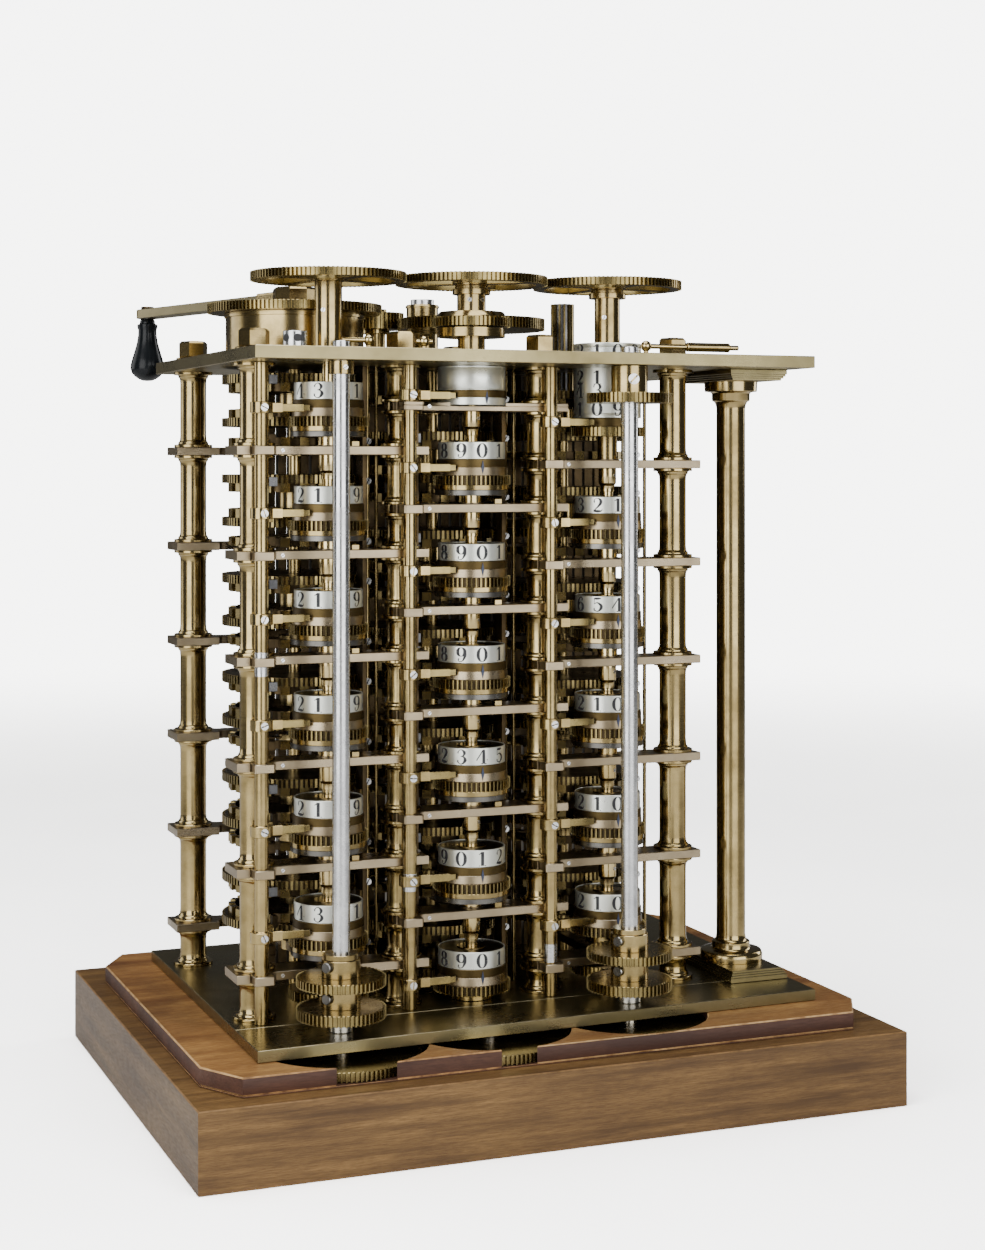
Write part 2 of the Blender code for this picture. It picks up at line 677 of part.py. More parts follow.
def build_frames(materials):
    """Posts with their platforms, and the last pair of posts, which carries none."""
    for column in COLUMNS:
        name = f"frame_{column.number}"
        front, back = (post_mesh(column.index, y) for y in (FRONT_ROW_Y, BACK_ROW_Y))
        bars = [bar for level in range(PLATFORM_COUNT) for bar in platform(column, level)]
        place(name, boolean(name, front, [*bars, back], "UNION"), materials["brass"])
    last = POST_COUNT - 1
    place("front_post", post_mesh(last, FRONT_ROW_Y), materials["brass"])
    place("back_post", post_mesh(last, BACK_ROW_Y), materials["brass"])


def build_nuts(materials):
    """Hexagon nut and washer on each post's stud."""
    washer_bottom = TOP_PLATE_TOP + SEAT
    nut_bottom = washer_bottom + WASHER_HEIGHT
    nut_top = nut_bottom + NUT_HEIGHT
    for row, y in (("front", FRONT_ROW_Y), ("back", BACK_ROW_Y)):
        for number in range(POST_COUNT):
            name = f"{row}_nut_{number + 1}"
            tiers = [
                (WASHER_RADIUS, washer_bottom, nut_bottom),
                (NUT_CORNER_RADIUS, nut_bottom, nut_top),
            ]
            place(name, turned(name, steps(*tiers), NUT_SIDES), materials["brass"],
                  (post_x(number), y))


def pointer_heights(column):
    """Heights of the pointers of a column, one for each wheel and one for its drum."""
    heights = [column.wheel_z(number) - POINTER_DROP for number in range(column.wheel_count)]
    if column.first_wheel_level:
        over_platform = column.platform_z(0) + column.wheel_rise - POINTER_DROP
        heights.append(min(over_platform, TOP_PLATE_BOTTOM - DRUM_POINTER_DROP))
    return heights


def build_pointer_rods(materials):
    """Rod in front of each column with a clamp and a pointer for each wheel."""
    for column in COLUMNS:
        name = f"pointer_rod_{column.number}"
        heights = sorted(pointer_heights(column))
        profile = [(POINTER_ROD_RADIUS, BASE_PLATE_TOP + SEAT)]
        for z in heights:
            low, high = z - CLAMP_HEIGHT / 2, z + CLAMP_HEIGHT / 2
            profile += [(POINTER_ROD_RADIUS, low)]
            profile += steps((CLAMP_RADIUS, low, high))
            profile += [(POINTER_ROD_RADIUS, high)]
        profile.append((POINTER_ROD_RADIUS, TOP_PLATE_BOTTOM - SEAT))
        rod = turned(name, profile, ROD_SIDES)
        reach = COLUMN_PITCH / 2 - POINTER_STANDOFF_X
        half = POINTER_THICKNESS / 2
        start = POINTER_ROD_RADIUS / 2
        bar = [(start, -half), (reach, -half), (reach, half), (start, half)]
        bars = [
            plate("pointer", bar, [], z - POINTER_HEIGHT / 2, z + POINTER_HEIGHT / 2)
            for z in heights
        ]
        place(name, boolean(name, rod, bars, "UNION"), materials["brass"],
              (column.left_x, POINTER_ROW_Y))


def figure_wheel_profile(column, place_number):
    """Profile of a figure wheel, from the foot of its hub to the top of its band."""
    z = column.wheel_z(place_number)
    foot = column.seat_z(place_number) + SEAT
    band_bottom = z - BAND_HALF_HEIGHT
    teeth_top = band_bottom - SKIRT_HEIGHT
    teeth_bottom = teeth_top - TOOTH_RING_HEIGHT
    flange_bottom = teeth_bottom - FLANGE_HEIGHT
    tip = tip_radius(FIGURE_TEETH)
    if foot > flange_bottom:
        lower = steps((FOOT_RIM_RADIUS, foot, teeth_bottom))
    else:
        slim = (column.number, place_number) in SLIM_WHEELS
        disc = FOOT_RIM_RADIUS if slim else FLANGE_RADIUS
        lower = steps((HUB_RADIUS, foot, flange_bottom), (disc, flange_bottom, teeth_bottom))
    lower.append((tip, teeth_bottom))
    upper = [(tip, teeth_top), (SKIRT_RADIUS, teeth_top)]
    return lower + upper + steps((BAND_RADIUS, band_bottom, z + BAND_HALF_HEIGHT))


def build_figure_wheels(materials):
    """Figure wheels, free to turn on their column's spindle."""
    bore = hole_radius(SPINDLE_RADIUS, WHEEL_SIDES)
    for column in COLUMNS:
        for place_number in range(column.wheel_count):
            name = f"figure_wheel_{column.number}_{place_number + 1}"
            profile = figure_wheel_profile(column, place_number)
            place(name, turned(name, profile, WHEEL_SIDES, bore), materials["band"],
                  (column.x, FRONT_ROW_Y))


def build_drums(materials):
    """Counting drum on column 2 and numeral drum through the top plate on column 3."""
    bore = hole_radius(SPINDLE_RADIUS, WHEEL_SIDES)
    middle, right = COLUMNS[1], COLUMNS[2]
    top = TOP_PLATE_BOTTOM - SEAT
    seat = middle.platform_z(0) + PLATFORM_THICKNESS / 2 + SEAT
    split = top - COUNTER_DRUM_HEIGHT
    profile = steps((COUNTER_SKIRT_RADIUS, seat, split), (COUNTER_DRUM_RADIUS, split, top))
    place("counter_drum", turned("counter_drum", profile, WHEEL_SIDES, bore), materials["band"],
          (middle.x, FRONT_ROW_Y))
    seat = right.platform_z(0) + PLATFORM_THICKNESS / 2 + SEAT
    drum_top = TOP_PLATE_TOP + NUMERAL_DRUM_RISE
    drum_bottom = drum_top - NUMERAL_DRUM_HEIGHT
    ring_top = drum_bottom - NUMERAL_NECK_HEIGHT
    ring_bottom = ring_top - NUMERAL_RING_HEIGHT
    profile = steps(
        (HUB_RADIUS, seat, ring_bottom),
        (tip_radius(FIGURE_TEETH), ring_bottom, ring_top),
        (NUMERAL_NECK_RADIUS, ring_top, drum_bottom),
        (NUMERAL_DRUM_RADIUS, drum_bottom, drum_top),
    )
    place("numeral_drum", turned("numeral_drum", profile, WHEEL_SIDES, bore), materials["band"],
          (right.x, FRONT_ROW_Y))


def build_spindles(materials):
    """Spindle of each column, with its foot gear and its hub above the plate."""
    foot = BASE_PLATE_TOP + SEAT
    gear_low = BASE_PLATE_TOP + DRIVE_LOW_GEAR_RISE
    gear_high = gear_low + DRIVE_LOW_GEAR_THICKNESS
    hub_top = TOP_GEAR_BOTTOM - SEAT
    tip = TOP_GEAR_BOTTOM + TOP_GEAR_THICKNESS
    plate_top = TOP_PLATE_TOP + SEAT
    foot_gear = [
        (SPINDLE_FOOT_RADIUS, foot, gear_low), (rim_radius(FOOT_TEETH), gear_low, gear_high)
    ]
    neck = (SPINDLE_NECK_RADIUS, hub_top, tip)
    band = TOP_PLATE_TOP + COUNTER_BAND_RISE
    pinion = TOP_PLATE_TOP + PINION_RISE
    pinion_top = pinion + PINION_THICKNESS
    bevel_top = pinion_top + PINION_BEVEL_HEIGHT
    drum_top = TOP_PLATE_TOP + NUMERAL_DRUM_RISE + SEAT
    cap = hub_top - SPINDLE_CAP_HEIGHT
    tiers = {
        1: [*foot_gear, (SPINDLE_RADIUS, gear_high, plate_top), (TUBE_RADIUS, plate_top, hub_top)],
        2: [
            (SPINDLE_RADIUS, foot, plate_top),
            (TUBE_RADIUS, plate_top, band),
            (COUNTER_DRUM_RADIUS, band, band + COUNTER_BAND_HEIGHT),
            (TUBE_RADIUS, band + COUNTER_BAND_HEIGHT, pinion),
            (rim_radius(FIGURE_TEETH), pinion, pinion_top),
            (PINION_BEVEL_RADIUS, bevel_top - PINION_BEVEL_HEIGHT / 2, bevel_top),
            (TUBE_RADIUS, bevel_top, cap),
            (SPINDLE_CAP_RADIUS, cap, hub_top),
        ],
        3: [
            *foot_gear,
            (SPINDLE_RADIUS, gear_high, drum_top),
            (TUBE_RADIUS, drum_top, cap),
            (SPINDLE_CAP_RADIUS, cap, hub_top),
        ],
    }
    for column in COLUMNS:
        name = f"spindle_{column.number}"
        profile = steps(*tiers[column.number], neck)
        place(name, turned(name, profile, WHEEL_SIDES), materials["brass"], (column.x, FRONT_ROW_Y))


def build_top_gears(materials):
    """Three equal spoked gears in mesh above the top plate."""
    bore = hole_radius(SPINDLE_NECK_RADIUS, HOLE_SIDES, SEAT)
    for column in COLUMNS:
        name = f"top_gear_{column.number}"
        outer, holes = spoked_outline(TOP_TEETH, bore)
        mesh = plate(name, outer, holes, TOP_GEAR_BOTTOM, TOP_GEAR_BOTTOM + TOP_GEAR_THICKNESS)
        place(name, mesh, materials["brass"], (column.x, FRONT_ROW_Y))


def build_under_gears(materials):
    """Three equal gears in mesh in the wells of the inner base, the middle one on a stub."""
    bore = hole_radius(DRIVE_ROD_RADIUS, GEAR_SIDES, SEAT)
    rim = (rim_radius(TOP_TEETH), UNDER_GEAR_BOTTOM, UNDER_GEAR_TOP)
    stub = (DRIVE_ROD_RADIUS, UNDER_GEAR_TOP, BASE_PLATE_TOP)
    for column in COLUMNS:
        name = f"under_gear_{column.number}"
        if column.index == 1:
            mesh = turned(name, steps(rim, stub), GEAR_SIDES)
        else:
            mesh = turned(name, steps(rim), GEAR_SIDES, bore)
        place(name, mesh, materials["brass"], drive_axis(column))


def drive_rod_foot():
    """Tiers of a drive rod up to the hub over its high gear."""
    journal = BASE_PLATE_TOP + SEAT
    low = BASE_PLATE_TOP + DRIVE_LOW_GEAR_RISE
    low_top = low + DRIVE_LOW_GEAR_THICKNESS
    high = BASE_PLATE_TOP + DRIVE_HIGH_GEAR_RISE
    high_top = high + DRIVE_HIGH_GEAR_THICKNESS
    return [
        (DRIVE_ROD_RADIUS, UNDER_GEAR_BOTTOM, journal),
        (DRIVE_JOURNAL_RADIUS, journal, low),
        (rim_radius(DRIVE_TEETH), low, low_top),
        (DRIVE_HUB_RADIUS, low_top, high),
        (rim_radius(DRIVE_TEETH), high, high_top),
        (DRIVE_HUB_RADIUS, high_top, BASE_PLATE_TOP + DRIVE_HUB_TOP_RISE),
    ]


def build_drive_rods(materials):
    """Tall steel rods in front of columns 1 and 3, with their gears and collars."""
    hub_top = BASE_PLATE_TOP + DRIVE_HUB_TOP_RISE
    top = TOP_PLATE_BOTTOM - SEAT
    tip = TOP_PLATE_TOP + DRIVE_ROD_PROUD
    collar = top - DRIVE_COLLAR_HEIGHT
    head_hub = top - DRIVE_HEAD_HUB_HEIGHT
    head_gear = head_hub - DRIVE_HEAD_GEAR_THICKNESS
    heads = {
        1: [(DRIVE_ROD_RADIUS, hub_top, collar), (DRIVE_COLLAR_RADIUS, collar, top)],
        3: [
            (DRIVE_ROD_RADIUS, hub_top, head_gear),
            (rim_radius(DRIVE_TEETH), head_gear, head_hub),
            (DRIVE_HUB_RADIUS, head_hub, top),
        ],
    }
    for column in COLUMNS[::2]:
        name = f"drive_rod_{column.number}"
        profile = steps(*drive_rod_foot(), *heads[column.number], (DRIVE_ROD_RADIUS, top, tip))
        place(name, turned(name, profile, WHEEL_SIDES), materials["steel"], drive_axis(column))


def build_rear_axes(materials):
    """Vertical axes behind the columns, with two stepped wheels at each level."""
    foot = BASE_PLATE_TOP + SEAT
    disc = (REAR_DISC_RADIUS, REAR_DISC_HEIGHT)
    crown = (REAR_CROWN_RADIUS, REAR_CROWN_HEIGHT)
    for column in COLUMNS:
        name = f"rear_axis_{column.number}"
        profile = [(REAR_SHAFT_RADIUS, foot)]
        for step in reversed(range(REAR_LEVEL_COUNT)):
            z = column.platform_z(column.rear_first_level + step)
            for drop, tiers in (
                (REAR_LOWER_WHEEL_DROP, (disc, crown)), (REAR_UPPER_WHEEL_DROP, (crown, disc)),
            ):
                highest = z - drop
                low = highest - sum(height for _, height in tiers)
                profile.append((REAR_SHAFT_RADIUS, low))
                for radius, height in tiers:
                    profile += steps((radius, low, low + height))
                    low += height
                profile.append((REAR_SHAFT_RADIUS, highest))
        if column.index == COLUMNS[-1].index:
            profile.pop()
            profile += steps((LONG_PINION_RADIUS, highest, TOP_PLATE_TOP + LONG_PINION_PROUD))
        else:
            profile.append((REAR_SHAFT_RADIUS, TOP_PLATE_BOTTOM - SEAT))
        place(name, turned(name, profile, REAR_SIDES), materials["brass"], (column.x, REAR_AXIS_Y))


def build_crank(materials):
    """Crank wheel on its drum, the arm and the turning grip."""
    axis = (COLUMNS[0].x, REAR_AXIS_Y)
    drum = TOP_PLATE_TOP + SEAT
    wheel = TOP_PLATE_TOP + CRANK_DRUM_HEIGHT
    wheel_top = wheel + CRANK_WHEEL_THICKNESS
    boss = wheel_top + SEAT
    boss_top = boss + CRANK_BOSS_HEIGHT
    profile = steps(
        (CRANK_STUB_RADIUS, TOP_PLATE_BOTTOM, drum),
        (CRANK_DRUM_RADIUS, drum, wheel),
        (rim_radius(CRANK_TEETH), wheel, wheel_top),
        (CRANK_SQUARE_RADIUS, wheel_top, boss_top),
    )
    place("crank_wheel", turned("crank_wheel", profile, DRUM_SIDES), materials["brass"], axis)

    eye = circle(hole_radius(CRANK_SQUARE_RADIUS, EYE_SIDES, SEAT), EYE_SIDES)
    grip_axis = (CRANK_ARM_LENGTH, 0.0)
    pin_hole = circle(hole_radius(GRIP_PIN_RADIUS, HOLE_SIDES), HOLE_SIDES, grip_axis)
    root, tip = CRANK_ARM_WIDTH / 2, CRANK_ARM_TIP_WIDTH / 2
    end = CRANK_ARM_LENGTH + tip
    corner = CRANK_ARM_LENGTH + tip / 2
    outline = [
        (0.0, -root), (corner, -tip), (end, -tip / 2), (end, tip / 2), (corner, tip), (0.0, root),
        (-root, root / 2), (-root, -root / 2),
    ]
    arm_low = boss + CRANK_ARM_LIFT
    arm_high = arm_low + CRANK_ARM_THICKNESS
    blade = plate("blade", outline, [eye, pin_hole], arm_low, arm_high)
    hub = skin(
        "hub",
        [(circle(CRANK_BOSS_RADIUS, EYE_SIDES), z) for z in (boss, boss_top)],
        eye,
    )
    place("crank_arm", boolean("crank_arm", hub, [blade], "UNION"), materials["brass"], axis,
          CRANK_ARM_ANGLE)

    top = arm_low - SEAT
    head = arm_high + SEAT
    shares = list(zip(GRIP_RADIUS_SHARES, GRIP_DROP_SHARES))
    profile = [(GRIP_RADIUS * r, top - GRIP_LENGTH * drop) for r, drop in reversed(shares)]
    profile += steps(
        (GRIP_PIN_RADIUS, top, head), (GRIP_PIN_HEAD_RADIUS, head, head + GRIP_PIN_HEAD_HEIGHT)
    )
    grip_place = (
        axis[0] + CRANK_ARM_LENGTH * math.cos(CRANK_ARM_ANGLE),
        axis[1] + CRANK_ARM_LENGTH * math.sin(CRANK_ARM_ANGLE),
    )
    place("crank_grip", turned("crank_grip", profile, REAR_SIDES), materials["ebony"], grip_place)


def build_train(materials):
    """Idler and transfer wheel, each on a hub that turns on the top plate."""
    foot = TOP_PLATE_TOP + SEAT
    for name, teeth, rise, thickness, axis in (
        ("idler", IDLER_TEETH, IDLER_RISE, IDLER_THICKNESS, idler_axis()),
        ("transfer_wheel", TRANSFER_TEETH, TRANSFER_RISE, TRANSFER_THICKNESS, transfer_axis()),
    ):
        low = TOP_PLATE_TOP + rise
        profile = steps(
            (TRAIN_PIN_RADIUS, TOP_PLATE_BOTTOM, foot),
            (TRAIN_HUB_RADIUS, foot, low),
            (rim_radius(teeth), low, low + thickness),
        )
        place(name, turned(name, profile, DRUM_SIDES), materials["brass"], axis)


def moulded_block(bottom, top, wide_at_bottom):
    """Rectangular block with one stepped side, wide below or wide above."""
    step = CORNER_BLOCK_STEP
    wide = rectangle(CORNER_BLOCK_WIDTH, CORNER_BLOCK_DEPTH)
    narrow = rectangle(CORNER_BLOCK_WIDTH - 2 * step, CORNER_BLOCK_DEPTH - 2 * step)
    middle = (bottom + top) / 2
    order = (wide, wide, narrow) if wide_at_bottom else (narrow, wide, wide)
    return skin("block", list(zip(order, (bottom, middle, top))))


def build_corner_column(materials):
    """Column at the front right corner, with a moulded base and capital."""
    bottom = BASE_PLATE_TOP + SEAT
    top = TOP_PLATE_BOTTOM - SEAT
    block_top = bottom + CORNER_BLOCK_HEIGHT
    block_low = top - CORNER_BLOCK_HEIGHT
    disc_top = block_top + CORNER_DISC_HEIGHT
    neck_top = disc_top + CORNER_NECK_HEIGHT
    capital = block_low - CORNER_CAPITAL_HEIGHT
    collar = capital - CORNER_NECK_HEIGHT
    sunk_low = (bottom + block_top) / 2
    sunk_high = (block_low + top) / 2
    profile = steps(
        (CORNER_DISC_RADIUS, sunk_low, disc_top),
        (CORNER_NECK_RADIUS, disc_top, neck_top),
        (CORNER_SHAFT_RADIUS, neck_top, collar),
        (CORNER_NECK_RADIUS, collar, capital),
        (CORNER_CAPITAL_RADIUS, capital, sunk_high),
    )
    shaft = turned("shaft", profile, WHEEL_SIDES)
    blocks = [moulded_block(bottom, block_top, True), moulded_block(block_low, top, False)]
    place("corner_column", boolean("corner_column", shaft, blocks, "UNION"), materials["brass"],
          (CORNER_COLUMN_X, CORNER_COLUMN_Y))


def main():
    """Clear the scene and build every piece."""
    for leftover in list(bpy.data.objects):
        bpy.data.objects.remove(leftover)
    materials = make_materials()
    build_plinth(materials)
    build_inner_base(materials)
    build_base_plates(materials)
    build_top_plate(materials)
    build_frames(materials)
    build_nuts(materials)
    build_pointer_rods(materials)
    build_figure_wheels(materials)
    build_drums(materials)
    build_spindles(materials)
    build_top_gears(materials)
    build_drive_rods(materials)
    build_under_gears(materials)
    build_rear_axes(materials)
    build_crank(materials)
    build_train(materials)
    build_corner_column(materials)


main()
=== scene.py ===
"""Looks of a difference engine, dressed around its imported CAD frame.

A hardwood plinth carries a brass frame of posts and platforms. Three columns of figure wheels
stand between the posts, and a train of gears on the top plate is driven by one hand crank.
Units are metres, +Z is up, and +Y points to the back of the machine.
"""

import logging
import math
from collections.abc import Callable, Iterable, Sequence
from dataclasses import dataclass, field
from enum import Enum

import bpy
from bpy.types import ID, Material, Mesh, Node, NodeSocket, NodeTree, Object
from mathutils import Matrix, Vector
from mathutils.geometry import tessellate_polygon


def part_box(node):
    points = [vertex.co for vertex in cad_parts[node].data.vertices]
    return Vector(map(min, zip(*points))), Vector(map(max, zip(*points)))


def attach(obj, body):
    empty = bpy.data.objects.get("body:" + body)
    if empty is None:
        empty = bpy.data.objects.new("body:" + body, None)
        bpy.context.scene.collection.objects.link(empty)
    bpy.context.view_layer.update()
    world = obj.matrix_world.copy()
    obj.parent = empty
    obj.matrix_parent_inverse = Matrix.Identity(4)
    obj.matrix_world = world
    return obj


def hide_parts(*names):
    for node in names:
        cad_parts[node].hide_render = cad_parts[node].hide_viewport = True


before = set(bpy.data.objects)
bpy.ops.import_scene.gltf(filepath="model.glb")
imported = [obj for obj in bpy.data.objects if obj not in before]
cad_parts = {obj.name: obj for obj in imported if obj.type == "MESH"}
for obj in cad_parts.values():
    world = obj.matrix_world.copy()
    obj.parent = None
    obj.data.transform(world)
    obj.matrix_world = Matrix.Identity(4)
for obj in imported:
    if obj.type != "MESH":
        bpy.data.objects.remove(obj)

LOG = logging.getLogger("difference_engine")
MM = 0.001
TINY = 1e-7
FLOAT, VECTOR, GEOMETRY = "NodeSocketFloat", "NodeSocketVector", "NodeSocketGeometry"

Point = tuple[float, float]
Colour = tuple[float, float, float]


class Finish(Enum):
    """Finishes of the machine, named as its makers would, except where they also serve as painted shade."""

    TURNED = "turned_brass"
    BRIGHT = "polished_brass"
    GEAR = "gear_brass"
    PLATE = "plate_brass"
    BAR = "bar_brass"
    DARK = "dark_brass"
    MATT = "matt_brass"
    STEEL = "drawn_steel"
    GREY_STEEL = "grey_steel_flange"
    DARK_STEEL = "dark_steel"
    SILVERED = "silvered_band"
    INK_AND_PAINTED_SHADE = "black_filling"
    BLUE_MARK = "blued_mark"
    WALNUT = "plinth_walnut"
    WALNUT_ENDS = "plinth_walnut_ends"
    OLD_WOOD = "worn_hardwood"
    OLD_WOOD_SIDES_AND_WELL_SHADE = "worn_hardwood_edge"
    EBONY = "ebonised_grip"
    FLOOR = "pale_floor"


Tier = tuple[float, float, float] | tuple[float, float, float, Finish]
MATERIALS: dict[Finish, Material] = {}
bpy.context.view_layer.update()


def centre_of(node: str) -> Vector:
    """Return the middle of a CAD node's box.

    Args:
        node: Name of the node.

    Returns:
        The middle point, in metres.
    """
    low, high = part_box(node)
    return (low + high) / 2


@dataclass(frozen=True)
class Layout:
    """Places that every sub-assembly shares, read from the frame where it shows them."""

    column_x: tuple[float, ...] = tuple(centre_of(f"figure_wheel_{n}_1").x for n in (1, 2, 3))
    front_y: float = centre_of("figure_wheel_1_1").y
    back_y: float = centre_of("back_post").y
    rear_y: float = centre_of("rear_axis_1").y
    pointer_y: float = -0.111
    plate_low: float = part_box("base_plate")[1].z
    plate_high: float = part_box("top_plate")[0].z
    deck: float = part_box("top_plate")[1].z
    column_pitch: float = 0.128
    platform_count: int = 6
    head_room: float = 0.0348
    foot_room: float = 0.0246
    stagger_share: float = 0.5673
    platform_thickness: float = 0.0073
    wheel_rises: tuple[float, ...] = (0.0493, 0.049, 0.0508)
    foot_wheel_rise: float = 0.0363
    first_wheel_levels: tuple[int, ...] = (0, 1, 1)
    wheel_counts: tuple[int, ...] = (6, 6, 5)
    rear_first_levels: tuple[int, ...] = (-1, 0, -1)
    drive_axes: tuple[Point, ...] = tuple(
        (centre_of(f"under_gear_{n}").x, centre_of(f"under_gear_{n}").y) for n in (1, 2, 3)
    )

    @property
    def level_pitch(self) -> float:
        """Height from one platform of a column to the next."""
        span = self.plate_high - self.plate_low - self.head_room - self.foot_room
        return span / (self.platform_count - 1 + self.stagger_share)

    def post_x(self, number: int) -> float:
        """X of a pair of posts, counted from 0 on the left."""
        return self.column_x[0] - self.column_pitch / 2 + number * self.column_pitch

    def axis(self, column: int) -> Point:
        """Axis of a column in plan."""
        return self.column_x[column], self.front_y

    def platform_z(self, column: int, level: int) -> float:
        """Return the middle height of a platform.

        Args:
            column: Column, counted from 0 on the left.
            level: Level, 0 being the highest.

        Returns:
            The height, in metres.
        """
        stagger = self.stagger_share * self.level_pitch
        top = self.plate_high - self.head_room + (stagger - self.level_pitch, 0.0, -stagger)[column]
        return top - level * self.level_pitch

    def wheel_z(self, column: int, place: int) -> float:
        """Return the middle height of a wheel's numeral band.

        Args:
            column: Column, counted from 0 on the left.
            place: The wheel's place, 0 being the highest.

        Returns:
            The height, in metres.
        """
        level = self.first_wheel_levels[column] + place
        if level < self.platform_count:
            return self.platform_z(column, level) + self.wheel_rises[column]
        return self.plate_low + self.foot_wheel_rise

    def wheel_seat(self, column: int, place: int) -> float:
        """Height of the face that a wheel's hub stands on."""
        level = self.first_wheel_levels[column] + place
        if level < self.platform_count:
            return self.platform_z(column, level) + self.platform_thickness / 2
        return self.plate_low


LAYOUT = Layout()


@dataclass(frozen=True)
class Teeth:
    """Tooth counts of the train. Every wheel shares one module."""

    top: int = 104
    figure: int = 52
    drive: int = 57
    crank: int = 122
    idler: int = 40
    transfer: int = 106
    module: float = LAYOUT.column_pitch / 104

    def pitch_radius(self, count: int) -> float:
        """Pitch radius of a wheel of the train."""
        return self.module * count / 2

    def root_radius(self, count: int) -> float:
        """Radius at the foot of a wheel's teeth."""
        return self.pitch_radius(count) - 1.05 * self.module

    def ring(self, count: int, low: float, high: float, axis: Point, turn: float = 0.0) -> "ToothRing":
        """Full ring of teeth of the common module.

        Args:
            count: Number of teeth.
            low: Lower face.
            high: Upper face.
            axis: Axis in plan.
            turn: Angle of the first tooth in radians.

        Returns:
            The ring.
        """
        return ToothRing(count, self.root_radius(count), 2.0 * self.module, low, high, axis, turn=turn)

    def mesh_turn(self, turn: float, count: int, axis: Point, other: int, other_axis: Point) -> float:
        """Return the turn that sets a wheel's gap on the tooth of the wheel that drives it.

        Args:
            turn: First tooth of the driving wheel, in radians.
            count: Its number of teeth.
            axis: Its axis.
            other: Number of teeth of the driven wheel.
            other_axis: Axis of the driven wheel.

        Returns:
            Angle of the driven wheel's first tooth.
        """
        run = Vector(other_axis) - Vector(axis)
        towards = math.atan2(run.y, run.x)
        pitch = 2 * math.pi * self.module / 2
        offset = (turn - towards) * self.pitch_radius(count)
        return towards + math.pi - (offset + pitch / 2) / self.pitch_radius(other)


TEETH = Teeth()


def arc(centre: Point, radius: float, start: float, stop: float, steps: int) -> list[Point]:
    """Return points along an arc.

    Args:
        centre: Middle of the arc.
        radius: Radius in metres.
        start: First angle in degrees.
        stop: Last angle in degrees.
        steps: Number of spans.

    Returns:
        The points, with both ends.
    """
    return [
        (
            centre[0] + radius * math.cos(math.radians(start + (stop - start) * i / steps)),
            centre[1] + radius * math.sin(math.radians(start + (stop - start) * i / steps)),
        ) for i in range(steps + 1)
    ]


def ring_points(centre: Point, radius: float, sides: int) -> list[Point]:
    """Points round a circle, the last one not repeated."""
    return arc(centre, radius, 0.0, 360.0, sides)[:-1]


def block_outline(left: float, front: float, right: float, back: float) -> list[Point]:
    """Corner points of a rectangle."""
    return [(left, front), (right, front), (right, back), (left, back)]


def cylinder(radius: float, low: float, high: float) -> list[Point]:
    """Profile points of one plain cylinder wall."""
    return [(radius, low), (radius, high)]


def capped(profile: list[Point]) -> list[Point]:
    """Profile closed onto the axis at both ends."""
    return [(0.0, profile[0][1]), *profile, (0.0, profile[-1][1])]


def signed_area(loop: Sequence[Point]) -> float:
    """Signed area of a loop, positive when it runs counter-clockwise."""
    return sum(a[0] * b[1] - b[0] * a[1] for a, b in zip(loop, [*loop[1:], loop[0]])) / 2


def shrink(loop: Sequence[Point], amount: float) -> list[Point]:
    """Move a loop to its left by an amount, which shrinks a counter-clockwise one.

    Args:
        loop: Points of the closed loop.
        amount: Distance in metres.

    Returns:
        The moved points.
    """
    moved = []
    for i, point in enumerate(loop):
        before, after = Vector(loop[i - 1]), Vector(loop[(i + 1) % len(loop)])
        first = (Vector(point) - before).normalized()
        second = (after - Vector(point)).normalized()
        normal = Vector((-first.y - second.y, first.x + second.x))
        scale = 1.0 + first.dot(second)
        step = normal * (amount / max(scale, 0.5))
        moved.append((point[0] + step.x, point[1] + step.y))
    return moved


def upright_to(start: Vector, direction: Vector) -> Matrix:
    """Matrix that turns +Z to a direction and moves the origin to a start point."""
    turn = direction.normalized().to_track_quat("Z", "Y").to_matrix().to_4x4()
    return Matrix.Translation(start) @ turn


